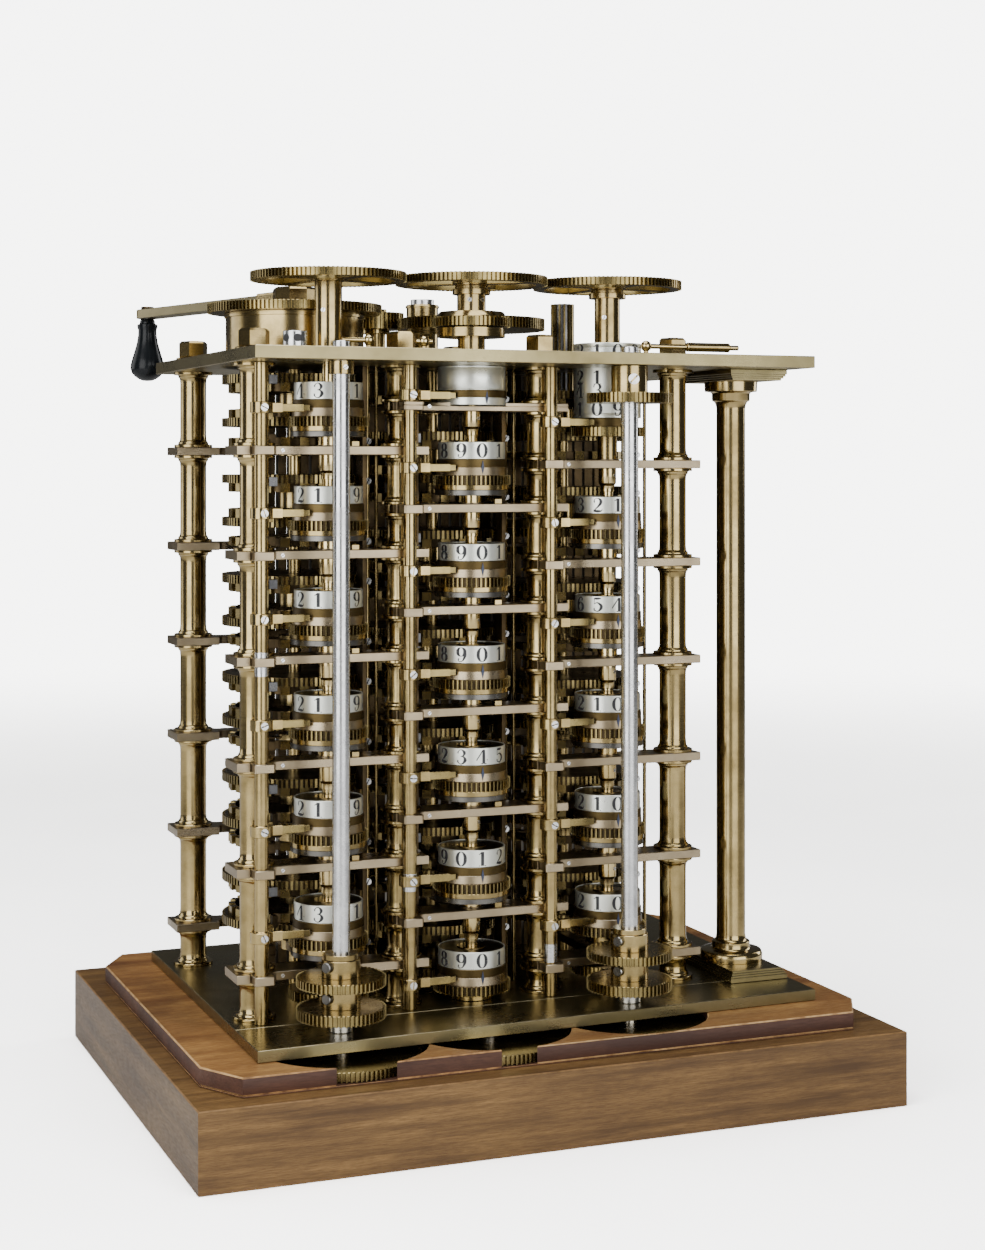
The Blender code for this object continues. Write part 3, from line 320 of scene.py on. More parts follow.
class Draft:
    """A mesh being drawn, with a finish and a wear value for each face."""

    def __init__(self) -> None:
        """Start with nothing drawn."""
        self.points: list[tuple[float, float, float]] = []
        self.faces: list[tuple[int, ...]] = []
        self.finishes: list[Finish] = []
        self.face_slots: list[int] = []
        self.worn: list[float] = []

    def _slot(self, finish: Finish) -> int:
        """Slot number of a finish, which is added at its first use."""
        if finish not in self.finishes:
            self.finishes.append(finish)
        return self.finishes.index(finish)

    def add(
        self, points: Iterable[Sequence[float]], faces: Iterable[Sequence[int]], finish: Finish,
        worn: Sequence[float] | float = 0.0, matrix: Matrix | None = None,
    ) -> None:
        """Add points and faces.

        Args:
            points: New points.
            faces: Faces, numbered within the new points.
            finish: Finish of the faces.
            worn: Wear of all faces, or of each.
            matrix: Optional placement.
        """
        start = len(self.points)
        for point in points:
            placed = matrix @ Vector(point) if matrix else point
            self.points.append((placed[0], placed[1], placed[2]))
        slot = self._slot(finish)
        for number, face in enumerate(faces):
            self.faces.append(tuple(start + i for i in face))
            self.face_slots.append(slot)
            self.worn.append(worn if isinstance(worn, float) else worn[number])

    def lathe(
        self, profile: Sequence[Point], finish: Finish, axis: Point = (0.0, 0.0), sides: int = 40,
        edge: float = 0.3 * MM, closed: bool = False, matrix: Matrix | None = None,
    ) -> None:
        """Turn a profile of (radius, height) points, drawn counter-clockwise, about an axis.

        Args:
            profile: Points from the bottom outwards and up.
            finish: Finish of the turned faces.
            axis: Place of the axis in plan.
            sides: Number of facets.
            edge: Size of the chamfer cut on each corner.
            closed: True joins the last point to the first, as round a bore.
            matrix: Optional placement.
        """
        path, worn_spans = soften(profile, edge, closed)
        points: list[tuple[float, float, float]] = []
        rows: list[list[int]] = []
        for radius, height in path:
            if radius < TINY:
                points.append((axis[0], axis[1], height))
                rows.append([len(points) - 1] * sides)
                continue
            row = []
            for k in range(sides):
                turn = 2 * math.pi * k / sides
                points.append(
                    (axis[0] + radius * math.cos(turn), axis[1] + radius * math.sin(turn), height)
                )
                row.append(len(points) - 1)
            rows.append(row)
        spans = list(zip(rows, rows[1:]))
        if closed:
            spans.append((rows[-1], rows[0]))
        faces, wears = [], []
        for number, (lower, upper) in enumerate(spans):
            for k in range(sides):
                after = (k + 1) % sides
                corners = [lower[k], lower[after], upper[after], upper[k]]
                face = [c for i, c in enumerate(corners) if c not in corners[:i]]
                if len(face) > 2:
                    faces.append(face)
                    wears.append(1.0 if number in worn_spans else 0.0)
        self.add(points, faces, finish, wears, matrix)

    def stack(self, tiers: Sequence[Tier], axis: Point, sides: int = 40, edge: float = 0.3 * MM) -> None:
        """Turn plain cylinders of (radius, low, high) about one axis, in brass if no finish is named."""
        for radius, low, high, *finish in tiers:
            self.lathe(capped(cylinder(radius, low, high)), *(finish or [Finish.TURNED]), axis, sides, edge)

    def prism(
        self, outline: Sequence[Point], low: float, high: float, finish: Finish,
        holes: Sequence[Sequence[Point]] = (), edge: float = 0.3 * MM, matrix: Matrix | None = None,
    ) -> None:
        """Raise a flat outline with holes into a plate with chamfered edges.

        Args:
            outline: Points of the outer loop.
            low: Lower face.
            high: Upper face.
            finish: Finish of the plate.
            holes: Loops of the holes.
            edge: Size of the chamfer.
            matrix: Optional placement.
        """
        loops = [list(outline) if signed_area(outline) > 0 else list(reversed(outline))]
        loops += [list(h) if signed_area(h) < 0 else list(reversed(h)) for h in holes]
        cut = min(edge, (high - low) / 3)
        points: list[tuple[float, float, float]] = []
        faces: list[tuple[int, ...]] = []
        wears: list[float] = []
        caps: list[list[int]] = [[], []]
        flat: list[list[Vector]] = []
        for loop in loops:
            inner = shrink(loop, cut)
            count = len(loop)
            start = len(points)
            for ring, z in ((inner, low), (loop, low + cut), (loop, high - cut), (inner, high)):
                points += [(x, y, z) for x, y in ring]
            for step in range(3):
                for i in range(count):
                    j = (i + 1) % count
                    base = start + step * count
                    faces.append((base + i, base + j, base + count + j, base + count + i))
                    wears.append(0.0 if step == 1 else 1.0)
            caps[0] += range(start, start + count)
            caps[1] += range(start + 3 * count, start + 4 * count)
            flat.append([Vector((x, y, 0.0)) for x, y in inner])
        for a, b, c in tessellate_polygon(flat):
            corners = [points[caps[1][i]] for i in (a, b, c)]
            if signed_area([(p[0], p[1]) for p in corners]) < 0:
                a, c = c, a
            faces.append((caps[1][a], caps[1][b], caps[1][c]))
            faces.append((caps[0][c], caps[0][b], caps[0][a]))
            wears += [0.0, 0.0]
        self.add(points, faces, finish, wears, matrix)

    def refinish(self, finish: Finish, chosen: Callable[[Vector], bool]) -> None:
        """Give another finish to the faces whose normal is chosen.

        Args:
            finish: The new finish.
            chosen: Test of a face's normal.
        """
        slot = self._slot(finish)
        for number, face in enumerate(self.faces):
            a, b, c = (Vector(self.points[i]) for i in face[:3])
            if chosen((b - a).cross(c - b).normalized()):
                self.face_slots[number] = slot

    def block(
        self, low: Sequence[float], high: Sequence[float], finish: Finish, edge: float = 0.3 * MM
    ) -> None:
        """Add an upright block between two corners."""
        self.prism(block_outline(low[0], low[1], high[0], high[1]), low[2], high[2], finish, edge=edge)

    def rod(
        self, start: Sequence[float], stop: Sequence[float], radius: float, finish: Finish, sides: int = 16,
    ) -> None:
        """Add a round rod between two points."""
        run = Vector(stop) - Vector(start)
        profile = capped(cylinder(radius, 0.0, run.length))
        self.lathe(profile, finish, sides=sides, edge=0.15 * radius, matrix=upright_to(Vector(start), run))

    def piece(
        self, name: str, body: str, slot: str, replaces: Sequence[str] = (), smooth_angle: float = 32.0,
    ) -> None:
        """Turn the draft into a finished piece that rides on a body.

        Args:
            name: Name of the piece.
            body: CAD body that it moves with.
            slot: Not used.
            replaces: CAD nodes that it stands for.
            smooth_angle: Edges under this angle, in degrees, are shaded smooth.
        """
        mesh = bpy.data.meshes.new(name)
        mesh.from_pydata(self.points, [], self.faces)
        for finish in self.finishes:
            mesh.materials.append(MATERIALS[finish])
        mesh.polygons.foreach_set("material_index", self.face_slots)
        attribute = mesh.attributes.new("worn", "FLOAT", "FACE")
        attribute.data.foreach_set("value", self.worn)
        mesh.shade_smooth()
        mesh.set_sharp_from_angle(angle=math.radians(smooth_angle))
        mesh.update()
        seat(put(name, mesh), body, replaces)


def put(name: str, data: ID) -> Object:
    """Link a new object with its data to the scene."""
    made = bpy.data.objects.new(name, data)
    bpy.context.scene.collection.objects.link(made)
    return made


def seat(piece: Object, body: str, replaces: Sequence[str] = ()) -> None:
    """Put a piece on its body and hide the nodes that it stands for."""
    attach(piece, body)
    if replaces:
        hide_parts(*replaces)
    LOG.info("%s: %d faces on %s", piece.name, len(piece.data.polygons), body)


def soften(profile: Sequence[Point], edge: float, closed: bool) -> tuple[list[Point], set[int]]:
    """Cut the corners of a profile.

    Args:
        profile: Points of (radius, height).
        edge: Size of each cut.
        closed: True treats the ends as a corner too.

    Returns:
        The new points, and the numbers of the spans that lie on an outer corner.
    """
    path: list[Point] = []
    worn: set[int] = set()
    count = len(profile)
    for i, corner in enumerate(profile):
        if not closed and i in (0, count - 1):
            path.append(corner)
            continue
        here = Vector(corner)
        before = Vector(profile[i - 1]) - here
        after = Vector(profile[(i + 1) % count]) - here
        if before.length < TINY or after.length < TINY:
            path.append(corner)
            continue
        turn = before.x * after.y - before.y * after.x
        bend = (-before).angle(after)
        if bend < math.radians(24) or edge <= 0:
            path.append(corner)
            continue
        cut = min(edge, 0.4 * before.length, 0.4 * after.length)
        first = here + before.normalized() * cut
        second = here + after.normalized() * cut
        path.append((max(first.x, 0.0), first.y))
        if turn < 0:
            worn.add(len(path) - 1)
        path.append((max(second.x, 0.0), second.y))
    return path, worn


class NodeSheet:
    """Short hand for laying out the nodes of one tree."""

    def __init__(self, tree: NodeTree) -> None:
        """Take the tree to work on."""
        self.tree = tree

    def node(self, kind: str, **settings: object) -> Node:
        """Add a node and set its attributes, such as operation."""
        made = self.tree.nodes.new(kind)
        for key, value in settings.items():
            setattr(made, key, value)
        return made

    def feed(self, node: Node, **inputs: object) -> Sequence[NodeSocket]:
        """Set or link inputs of a node.

        Args:
            node: The node to feed.
            **inputs: A value, or the socket that it comes from. The key is the input's name with
                underscores for blanks, or its number after an i.

        Returns:
            The node's outputs.
        """
        for key, value in inputs.items():
            socket = node.inputs[int(key[1:]) if key[1:].isdigit() else key.replace("_", " ")]
            if isinstance(value, NodeSocket):
                self.tree.links.new(value, socket)
            else:
                socket.default_value = value
        return node.outputs

    def out(self, kind: str, **inputs: object) -> NodeSocket:
        """First output of a new node that needs no settings."""
        return self.feed(self.node(kind), **inputs)[0]

    def math(self, operation: str, first: object, second: object = 0.0) -> NodeSocket:
        """Output of a Math node."""
        return self.feed(self.node("ShaderNodeMath", operation=operation), i0=first, i1=second)[0]

    def mix(self, factor: object, first: object, second: object) -> NodeSocket:
        """Output of a node that mixes two colours, each a socket or a plain colour."""
        first, second = ((*c, 1.0) if isinstance(c, tuple) else c for c in (first, second))
        return self.feed(self.node("ShaderNodeMix", data_type="RGBA"), i0=factor, i6=first, i7=second)[2]

    def ramp(self, value: NodeSocket, low: float, high: float) -> NodeSocket:
        """Value spread from 0 at low to 1 at high, and held there."""
        held = self.node("ShaderNodeMapRange", clamp=True)
        return self.feed(held, Value=value, From_Min=low, From_Max=high)[0]

    def noise(self, vector: NodeSocket, scale: object, detail: float, roughness: float) -> NodeSocket:
        """Value of a noise texture."""
        return self.out("ShaderNodeTexNoise", Vector=vector, Scale=scale, Detail=detail,
                        Roughness=roughness)

    def place(self) -> NodeSocket:
        """Object coordinates."""
        return self.node("ShaderNodeTexCoord").outputs["Object"]

    def mapped(self, scale: NodeSocket) -> NodeSocket:
        """Object coordinates, stretched along each axis."""
        return self.out("ShaderNodeMapping", Vector=self.place(), Scale=scale)

    def vector(self, x: object = 0.0, y: object = 0.0, z: object = 0.0) -> NodeSocket:
        """Vector of three parts."""
        return self.out("ShaderNodeCombineXYZ", X=x, Y=y, Z=z)

    def group(self, tree: NodeTree, **inputs: object) -> Sequence[NodeSocket]:
        """Outputs of a node group, placed with its own values."""
        return self.feed(self.node("ShaderNodeGroup", node_tree=tree), **inputs)


def new_group(
    name: str, kind: str, inputs: Iterable[tuple[str, str, object]], outputs: Iterable[str],
    output_kind: str = FLOAT,
) -> tuple[NodeSheet, Sequence[NodeSocket], Node]:
    """Start a node group with named inputs and outputs.

    Args:
        name: Name of the group.
        kind: ShaderNodeTree or GeometryNodeTree.
        inputs: Name, socket type and default of each input.
        outputs: Name of each output.
        output_kind: Socket type of the outputs.

    Returns:
        The group's sheet, the sockets of its inputs and its output node.
    """
    tree = bpy.data.node_groups.new(name, kind)
    for label, socket_type, default in inputs:
        socket = tree.interface.new_socket(name=label, in_out="INPUT", socket_type=socket_type)
        if default is not None:
            socket.default_value = default
    for label in outputs:
        tree.interface.new_socket(name=label, in_out="OUTPUT", socket_type=output_kind)
    given = tree.nodes.new("NodeGroupInput")
    return NodeSheet(tree), given.outputs, tree.nodes.new("NodeGroupOutput")


class ShaderGroups:
    """Effects that several finishes share, each one a node group."""

    def __init__(self) -> None:
        """Build the groups."""
        self.tarnish = self._tarnish()
        self.tool_marks = self._tool_marks()
        self.edge_wear = self._edge_wear()
        self.grain = self._grain()

    def _tarnish(self) -> NodeTree:
        """Clouds of tarnish with small spots, as a mask."""
        sheet, given, result = new_group(
            "tarnish_clouds", "ShaderNodeTree", [("Scale", FLOAT, 30.0), ("Spots", FLOAT, 0.3)], ["Mask"]
        )
        place = sheet.place()
        clouds = sheet.ramp(sheet.noise(place, given["Scale"], 5.0, 0.6), 0.36, 0.66)
        spots = sheet.ramp(sheet.noise(place, 420.0, 2.0, 0.5), 0.58, 0.72)
        added = sheet.math("MULTIPLY", spots, given["Spots"])
        sheet.feed(result, Mask=sheet.math("MAXIMUM", clouds, added))
        return sheet.tree

    def _tool_marks(self) -> NodeTree:
        """Fine lines left by the lathe or the file, as a height."""
        sheet, given, result = new_group(
            "tool_marks", "ShaderNodeTree",
            [("Along", VECTOR, (1.0, 1.0, 1.0)), ("Fineness", FLOAT, 60.0)], ["Height"]
        )
        marks = sheet.noise(sheet.mapped(given["Along"]), given["Fineness"], 4.0, 0.7)
        sheet.feed(result, Height=marks)
        return sheet.tree

    def _edge_wear(self) -> NodeTree:
        """Bright wear on the chamfers, broken up by noise, as a mask."""
        sheet, given, result = new_group("edge_wear", "ShaderNodeTree", [("Amount", FLOAT, 0.7)], ["Mask"])
        worn = sheet.node("ShaderNodeAttribute", attribute_name="worn").outputs["Fac"]
        broken = sheet.ramp(sheet.noise(sheet.place(), 90.0, 3.0, 0.6), 0.3, 0.6)
        mask = sheet.math("MULTIPLY", worn, broken)
        sheet.feed(result, Mask=sheet.math("MULTIPLY", mask, given["Amount"]))
        return sheet.tree

    def _grain(self) -> NodeTree:
        """Long wood fibres and broad figure, as two masks."""
        sheet, given, result = new_group(
            "wood_grain", "ShaderNodeTree",
            [("Stretch", VECTOR, (1.0, 12.0, 12.0)), ("Scale", FLOAT, 8.0)], ["Figure", "Fibre"]
        )
        along = sheet.mapped(given["Stretch"])
        drift = sheet.noise(along, given["Scale"], 4.0, 0.6)
        fibre = sheet.noise(along, sheet.math("MULTIPLY", given["Scale"], 14.0), 3.0, 0.7)
        sheet.feed(result, Figure=sheet.ramp(drift, 0.32, 0.68), Fibre=sheet.ramp(fibre, 0.35, 0.65))
        return sheet.tree


@dataclass(frozen=True)
class Metal:
    """A bare metal finish with tarnish, tool marks and worn edges."""

    finish: Finish
    bright: Colour
    tarnished: Colour
    roughness: float
    dull_roughness: float
    cloud_scale: float = 28.0
    spots: float = 0.35
    marks_along: tuple[float, float, float] = (0.6, 0.6, 14.0)
    fineness: float = 90.0
    mark_depth: float = 0.1
    wear: float = 0.6
    worn_colour: Colour = (0.8, 0.66, 0.42)
    metallic: float = 1.0
    streak: float = 0.06

    def build(self, groups: ShaderGroups) -> Material:
        """Make the material from the shared node groups."""
        material, sheet, shader = new_material(self.finish)
        tarnish = sheet.group(groups.tarnish, Scale=self.cloud_scale, Spots=self.spots)[0]
        wear = sheet.group(groups.edge_wear, Amount=self.wear)[0]
        marks = sheet.group(groups.tool_marks, Along=self.marks_along, Fineness=self.fineness)[0]
        colour = sheet.mix(wear, sheet.mix(tarnish, self.bright, self.tarnished), self.worn_colour)
        rough = sheet.math("MULTIPLY", tarnish, self.dull_roughness - self.roughness)
        rough = sheet.math("ADD", rough, self.roughness)
        streak = sheet.math("MULTIPLY", marks, 2 * self.streak)
        rough = sheet.math("ADD", rough, sheet.math("SUBTRACT", streak, self.streak))
        bump = sheet.out("ShaderNodeBump", Strength=self.mark_depth, Distance=0.0004, Height=marks)
        sheet.feed(shader, Base_Color=colour, Roughness=rough, Metallic=self.metallic, Normal=bump)
        return material


@dataclass(frozen=True)
class Wood:
    """A polished hardwood with fibres along one axis."""

    finish: Finish
    pale: Colour
    dark: Colour
    stretch: tuple[float, float, float]
    scale: float
    roughness: float
    worn_colour: Colour
    wear: float = 0.5
    stain: Colour = (0.03, 0.012, 0.008)
    stain_amount: float = 0.35
    gloss: float = 0.28
    fibre: float = 0.7

    def build(self, groups: ShaderGroups) -> Material:
        """Make the material from the shared node groups."""
        material, sheet, shader = new_material(self.finish)
        grain = sheet.group(groups.grain, Stretch=self.stretch, Scale=self.scale)
        stains = sheet.group(groups.tarnish, Scale=9.0, Spots=0.25)[0]
        wear = sheet.group(groups.edge_wear, Amount=self.wear)[0]
        base = sheet.mix(grain["Figure"], self.pale, self.dark)
        base = sheet.mix(sheet.math("MULTIPLY", grain["Fibre"], self.fibre), base, self.dark)
        base = sheet.mix(sheet.math("MULTIPLY", stains, self.stain_amount), base, self.stain)
        rough = sheet.math("ADD", sheet.math("MULTIPLY", grain["Fibre"], 0.15), self.roughness)
        bump = sheet.out("ShaderNodeBump", Strength=0.12, Distance=0.0005, Height=grain["Fibre"])
        sheet.feed(shader, Base_Color=sheet.mix(wear, base, self.worn_colour), Roughness=rough,
                   Normal=bump, Specular_IOR_Level=self.gloss)
        return material


@dataclass(frozen=True)
class Paint:
    """A plain filled or coated finish with a faint mottle."""

    finish: Finish
    colour: Colour
    other: Colour
    roughness: float
    mottle: float = 120.0
    gloss: float = 0.5

    def build(self, groups: ShaderGroups) -> Material:
        """Make the material from the shared node groups."""
        material, sheet, shader = new_material(self.finish)
        clouds = sheet.group(groups.tarnish, Scale=self.mottle, Spots=0.2)[0]
        rough = sheet.math("ADD", sheet.math("MULTIPLY", clouds, 0.12), self.roughness)
        sheet.feed(shader, Base_Color=sheet.mix(clouds, self.colour, self.other), Roughness=rough,
                   Specular_IOR_Level=self.gloss)
        return material


def new_material(finish: Finish) -> tuple[Material, NodeSheet, Node]:
    """Start a material with a Principled BSDF and return it with its node sheet and shader."""
    material = bpy.data.materials.new(finish.value)
    material.use_nodes = True
    sheet = NodeSheet(material.node_tree)
    return material, sheet, material.node_tree.nodes["Principled BSDF"]


FINISHES: tuple[Metal | Wood | Paint, ...] = (
    Metal(Finish.TURNED, (0.46, 0.35, 0.158), (0.24, 0.178, 0.074), 0.14, 0.24,
          marks_along=(0.5, 0.5, 9.0), mark_depth=0.05, worn_colour=(0.64, 0.51, 0.27)),
    Metal(Finish.BRIGHT, (0.72, 0.575, 0.3), (0.52, 0.39, 0.17), 0.13, 0.2,
          marks_along=(0.5, 0.5, 9.0), mark_depth=0.04, worn_colour=(0.8, 0.7, 0.5)),
    Metal(Finish.GEAR, (0.32, 0.25, 0.105), (0.18, 0.138, 0.056), 0.2, 0.32,
          marks_along=(1.0, 1.0, 1.0), fineness=160.0, mark_depth=0.06, worn_colour=(0.58, 0.46, 0.24)),
    Metal(Finish.PLATE, (0.3, 0.255, 0.13), (0.19, 0.157, 0.075), 0.24, 0.36,
          cloud_scale=11.0, marks_along=(1.0, 9.0, 9.0), fineness=60.0, mark_depth=0.04,
          worn_colour=(0.58, 0.5, 0.33)),
    Metal(Finish.BAR, (0.38, 0.31, 0.205), (0.27, 0.215, 0.135), 0.26, 0.36,
          cloud_scale=22.0, marks_along=(1.0, 18.0, 18.0), fineness=70.0, mark_depth=0.08,
          worn_colour=(0.7, 0.62, 0.48)),
    # Dark brass, also used as painted shade: tooth roots, band linings, crown walls and the slats and slabs
    # inside the machine.
    Metal(Finish.DARK, (0.085, 0.06, 0.03), (0.035, 0.026, 0.015), 0.26, 0.42,
          marks_along=(1.0, 1.0, 1.0), wear=0.7, worn_colour=(0.34, 0.25, 0.13)),
    Metal(Finish.MATT, (0.105, 0.074, 0.029), (0.065, 0.045, 0.018), 0.36, 0.48,
          marks_along=(1.0, 1.0, 9.0), worn_colour=(0.46, 0.36, 0.2)),
    Metal(Finish.STEEL, (0.74, 0.745, 0.745), (0.5, 0.505, 0.51), 0.18, 0.32, cloud_scale=60.0,
          spots=0.9, worn_colour=(0.85, 0.85, 0.85), marks_along=(1.0, 1.0, 5.0), mark_depth=0.06),
    Metal(Finish.GREY_STEEL, (0.17, 0.165, 0.15), (0.11, 0.104, 0.095), 0.24, 0.38, cloud_scale=50.0,
          worn_colour=(0.6, 0.6, 0.59), marks_along=(1.0, 1.0, 5.0), mark_depth=0.06),
    Metal(Finish.DARK_STEEL, (0.16, 0.16, 0.165), (0.07, 0.07, 0.075), 0.22, 0.4,
          worn_colour=(0.42, 0.42, 0.43)),
    Metal(Finish.SILVERED, (0.84, 0.86, 0.79), (0.73, 0.75, 0.67), 0.28, 0.42, cloud_scale=40.0,
          spots=0.2, worn_colour=(0.86, 0.87, 0.82), metallic=0.85, marks_along=(1.0, 1.0, 8.0),
          mark_depth=0.04),
    Wood(Finish.WALNUT, (0.285, 0.16, 0.055), (0.085, 0.044, 0.015), (1.0, 10.0, 16.0), 7.0,
         0.34, (0.3, 0.17, 0.07)),
    Wood(Finish.WALNUT_ENDS, (0.2, 0.125, 0.056), (0.075, 0.044, 0.019), (10.0, 1.0, 16.0), 7.0,
         0.34, (0.3, 0.17, 0.07)),
    Wood(Finish.OLD_WOOD, (0.5, 0.265, 0.085), (0.19, 0.08, 0.025), (1.0, 9.0, 9.0), 6.5,
         0.36, (0.56, 0.36, 0.16), wear=0.8, stain_amount=0.55),
    # Darker wood of the board's upright faces and the wells' floors; inside the wells it is painted shade.
    Wood(Finish.OLD_WOOD_SIDES_AND_WELL_SHADE, (0.13, 0.056, 0.032), (0.055, 0.025, 0.017), (1.0, 9.0, 9.0), 5.0,
         0.45, (0.5, 0.27, 0.1), wear=0.9, stain_amount=0.5),
    # Black filling of the numerals, also used as painted shade in screw slots and drilled bores.
    Paint(Finish.INK_AND_PAINTED_SHADE, (0.012, 0.012, 0.015), (0.03, 0.03, 0.034), 0.5),
    Paint(Finish.BLUE_MARK, (0.012, 0.022, 0.055), (0.03, 0.04, 0.09), 0.35),
    Paint(Finish.EBONY, (0.004, 0.005, 0.006), (0.01, 0.012, 0.014), 0.15, 25.0, 0.2),
    Paint(Finish.FLOOR, (0.8, 0.795, 0.785), (0.82, 0.815, 0.805), 0.65, 3.0),
)


@dataclass(frozen=True)
class ToothRing:
    """One ring of teeth on a wheel."""

    count: int
    root_radius: float
    depth: float
    low: float
    high: float
    axis: Point
    width_share: float = 0.52
    tip_share: float = 0.62
    turn: float = 0.0


class ToothCutter:
    """Geometry Nodes tree that sets teeth round a rim, and the baking of its result."""

    SIZES = ("Root Radius", "Depth", "Width", "Tip Share", "Low", "High", "Turn", "Axis X", "Axis Y")
    SUNK = 0.4 * MM

    def __init__(self) -> None:
        """Build the tree."""
        inputs = [("Count", "NodeSocketInt", 52), *((size, FLOAT, 0.0) for size in self.SIZES),
                  ("Finish", "NodeSocketMaterial", None)]
        sheet, wanted, result = new_group("tooth_ring", "GeometryNodeTree", inputs, ["Geometry"], GEOMETRY)
        self.tree = sheet.tree
        depth = sheet.math("ADD", wanted["Depth"], self.SUNK)
        middle = sheet.math("ADD", wanted["Root Radius"], sheet.math("MULTIPLY", depth, 0.5))
        rim = sheet.feed(sheet.node("GeometryNodeMeshCircle", fill_type="NONE"),
                         Vertices=wanted["Count"], Radius=sheet.math("SUBTRACT", middle, self.SUNK))[0]
        height = sheet.math("SUBTRACT", wanted["High"], wanted["Low"])
        tooth = sheet.out("GeometryNodeMeshCube", Size=sheet.vector(depth, wanted["Width"], height))
        spot = sheet.out("GeometryNodeInputPosition")
        parts = sheet.feed(sheet.node("ShaderNodeSeparateXYZ"), Vector=spot)
        outer = sheet.math("GREATER_THAN", parts["X"], 0.0)
        loss = sheet.math("SUBTRACT", 1.0, wanted["Tip Share"])
        factor = sheet.math("SUBTRACT", 1.0, sheet.math("MULTIPLY", outer, loss))
        narrow = sheet.vector(parts["X"], sheet.math("MULTIPLY", parts["Y"], factor), parts["Z"])
        taper = sheet.out("GeometryNodeSetPosition", Geometry=tooth, Position=narrow)
        facing = sheet.feed(sheet.node("FunctionNodeAlignRotationToVector", axis="X"), Vector=spot)[0]
        copies = sheet.out("GeometryNodeInstanceOnPoints", Points=rim, Instance=taper, Rotation=facing)
        real = sheet.out("GeometryNodeRealizeInstances", Geometry=copies)
        half = sheet.math("MULTIPLY", sheet.math("ADD", wanted["High"], wanted["Low"]), 0.5)
        moved = sheet.out("GeometryNodeTransform", Geometry=real, Rotation=sheet.vector(z=wanted["Turn"]),
                          Translation=sheet.vector(wanted["Axis X"], wanted["Axis Y"], half))
        painted = sheet.out("GeometryNodeSetMaterial", Geometry=moved, Material=wanted["Finish"])
        sheet.feed(result, Geometry=painted)

    def piece(self, name: str, body: str, rings: Sequence[ToothRing]) -> None:
        """Cut rings of teeth and seat them as one piece.

        Args:
            name: Name of the piece.
            body: CAD body that it moves with.
            rings: The rings to cut.
        """
        points: list[Sequence[float]] = []
        faces: list[tuple[int, ...]] = []
        for ring in rings:
            width = 2 * math.pi * ring.root_radius / ring.count * ring.width_share
            mesh = bake_tree(self.tree, {
                "Count": ring.count, "Root Radius": ring.root_radius, "Depth": ring.depth,
                "Width": width, "Tip Share": ring.tip_share, "Low": ring.low, "High": ring.high,
                "Turn": ring.turn, "Axis X": ring.axis[0], "Axis Y": ring.axis[1],
                "Finish": MATERIALS[Finish.GEAR],
            })
            start = len(points)
            points += [tuple(vertex.co) for vertex in mesh.vertices]
            faces += [tuple(start + i for i in face.vertices) for face in mesh.polygons]
            bpy.data.meshes.remove(mesh)
        teeth = bpy.data.meshes.new(name)
        teeth.from_pydata(points, [], faces)
        teeth.materials.append(MATERIALS[Finish.GEAR])
        seat(put(name, teeth), body)


def bake_tree(tree: NodeTree, settings: dict[str, object], source: Mesh | None = None) -> Mesh:
    """Evaluate a Geometry Nodes tree and return its result as a plain mesh.

    Args:
        tree: The tree.
        settings: Values of its inputs by name.
        source: Optional mesh that the tree starts from.

    Returns:
        The new mesh.
    """
    carrier = put("carrier", source or bpy.data.meshes.new("carrier"))
    modifier = carrier.modifiers.new("nodes", "NODES")
    modifier.node_group = tree
    for item in tree.interface.items_tree:
        if item.item_type == "SOCKET" and item.in_out == "INPUT" and item.name in settings:
            modifier[item.identifier] = settings[item.name]
    mesh = bpy.data.meshes.new_from_object(carrier.evaluated_get(bpy.context.evaluated_depsgraph_get()))
    carrier.modifiers.remove(modifier)
    bpy.data.objects.remove(carrier)
    return mesh


@dataclass(frozen=True)
class ScrewSpot:
    """Where a slotted screw sits, which way its head looks, and its size."""

    place: Vector
    aim: Vector
    radius: float
    height: float
    turn: float


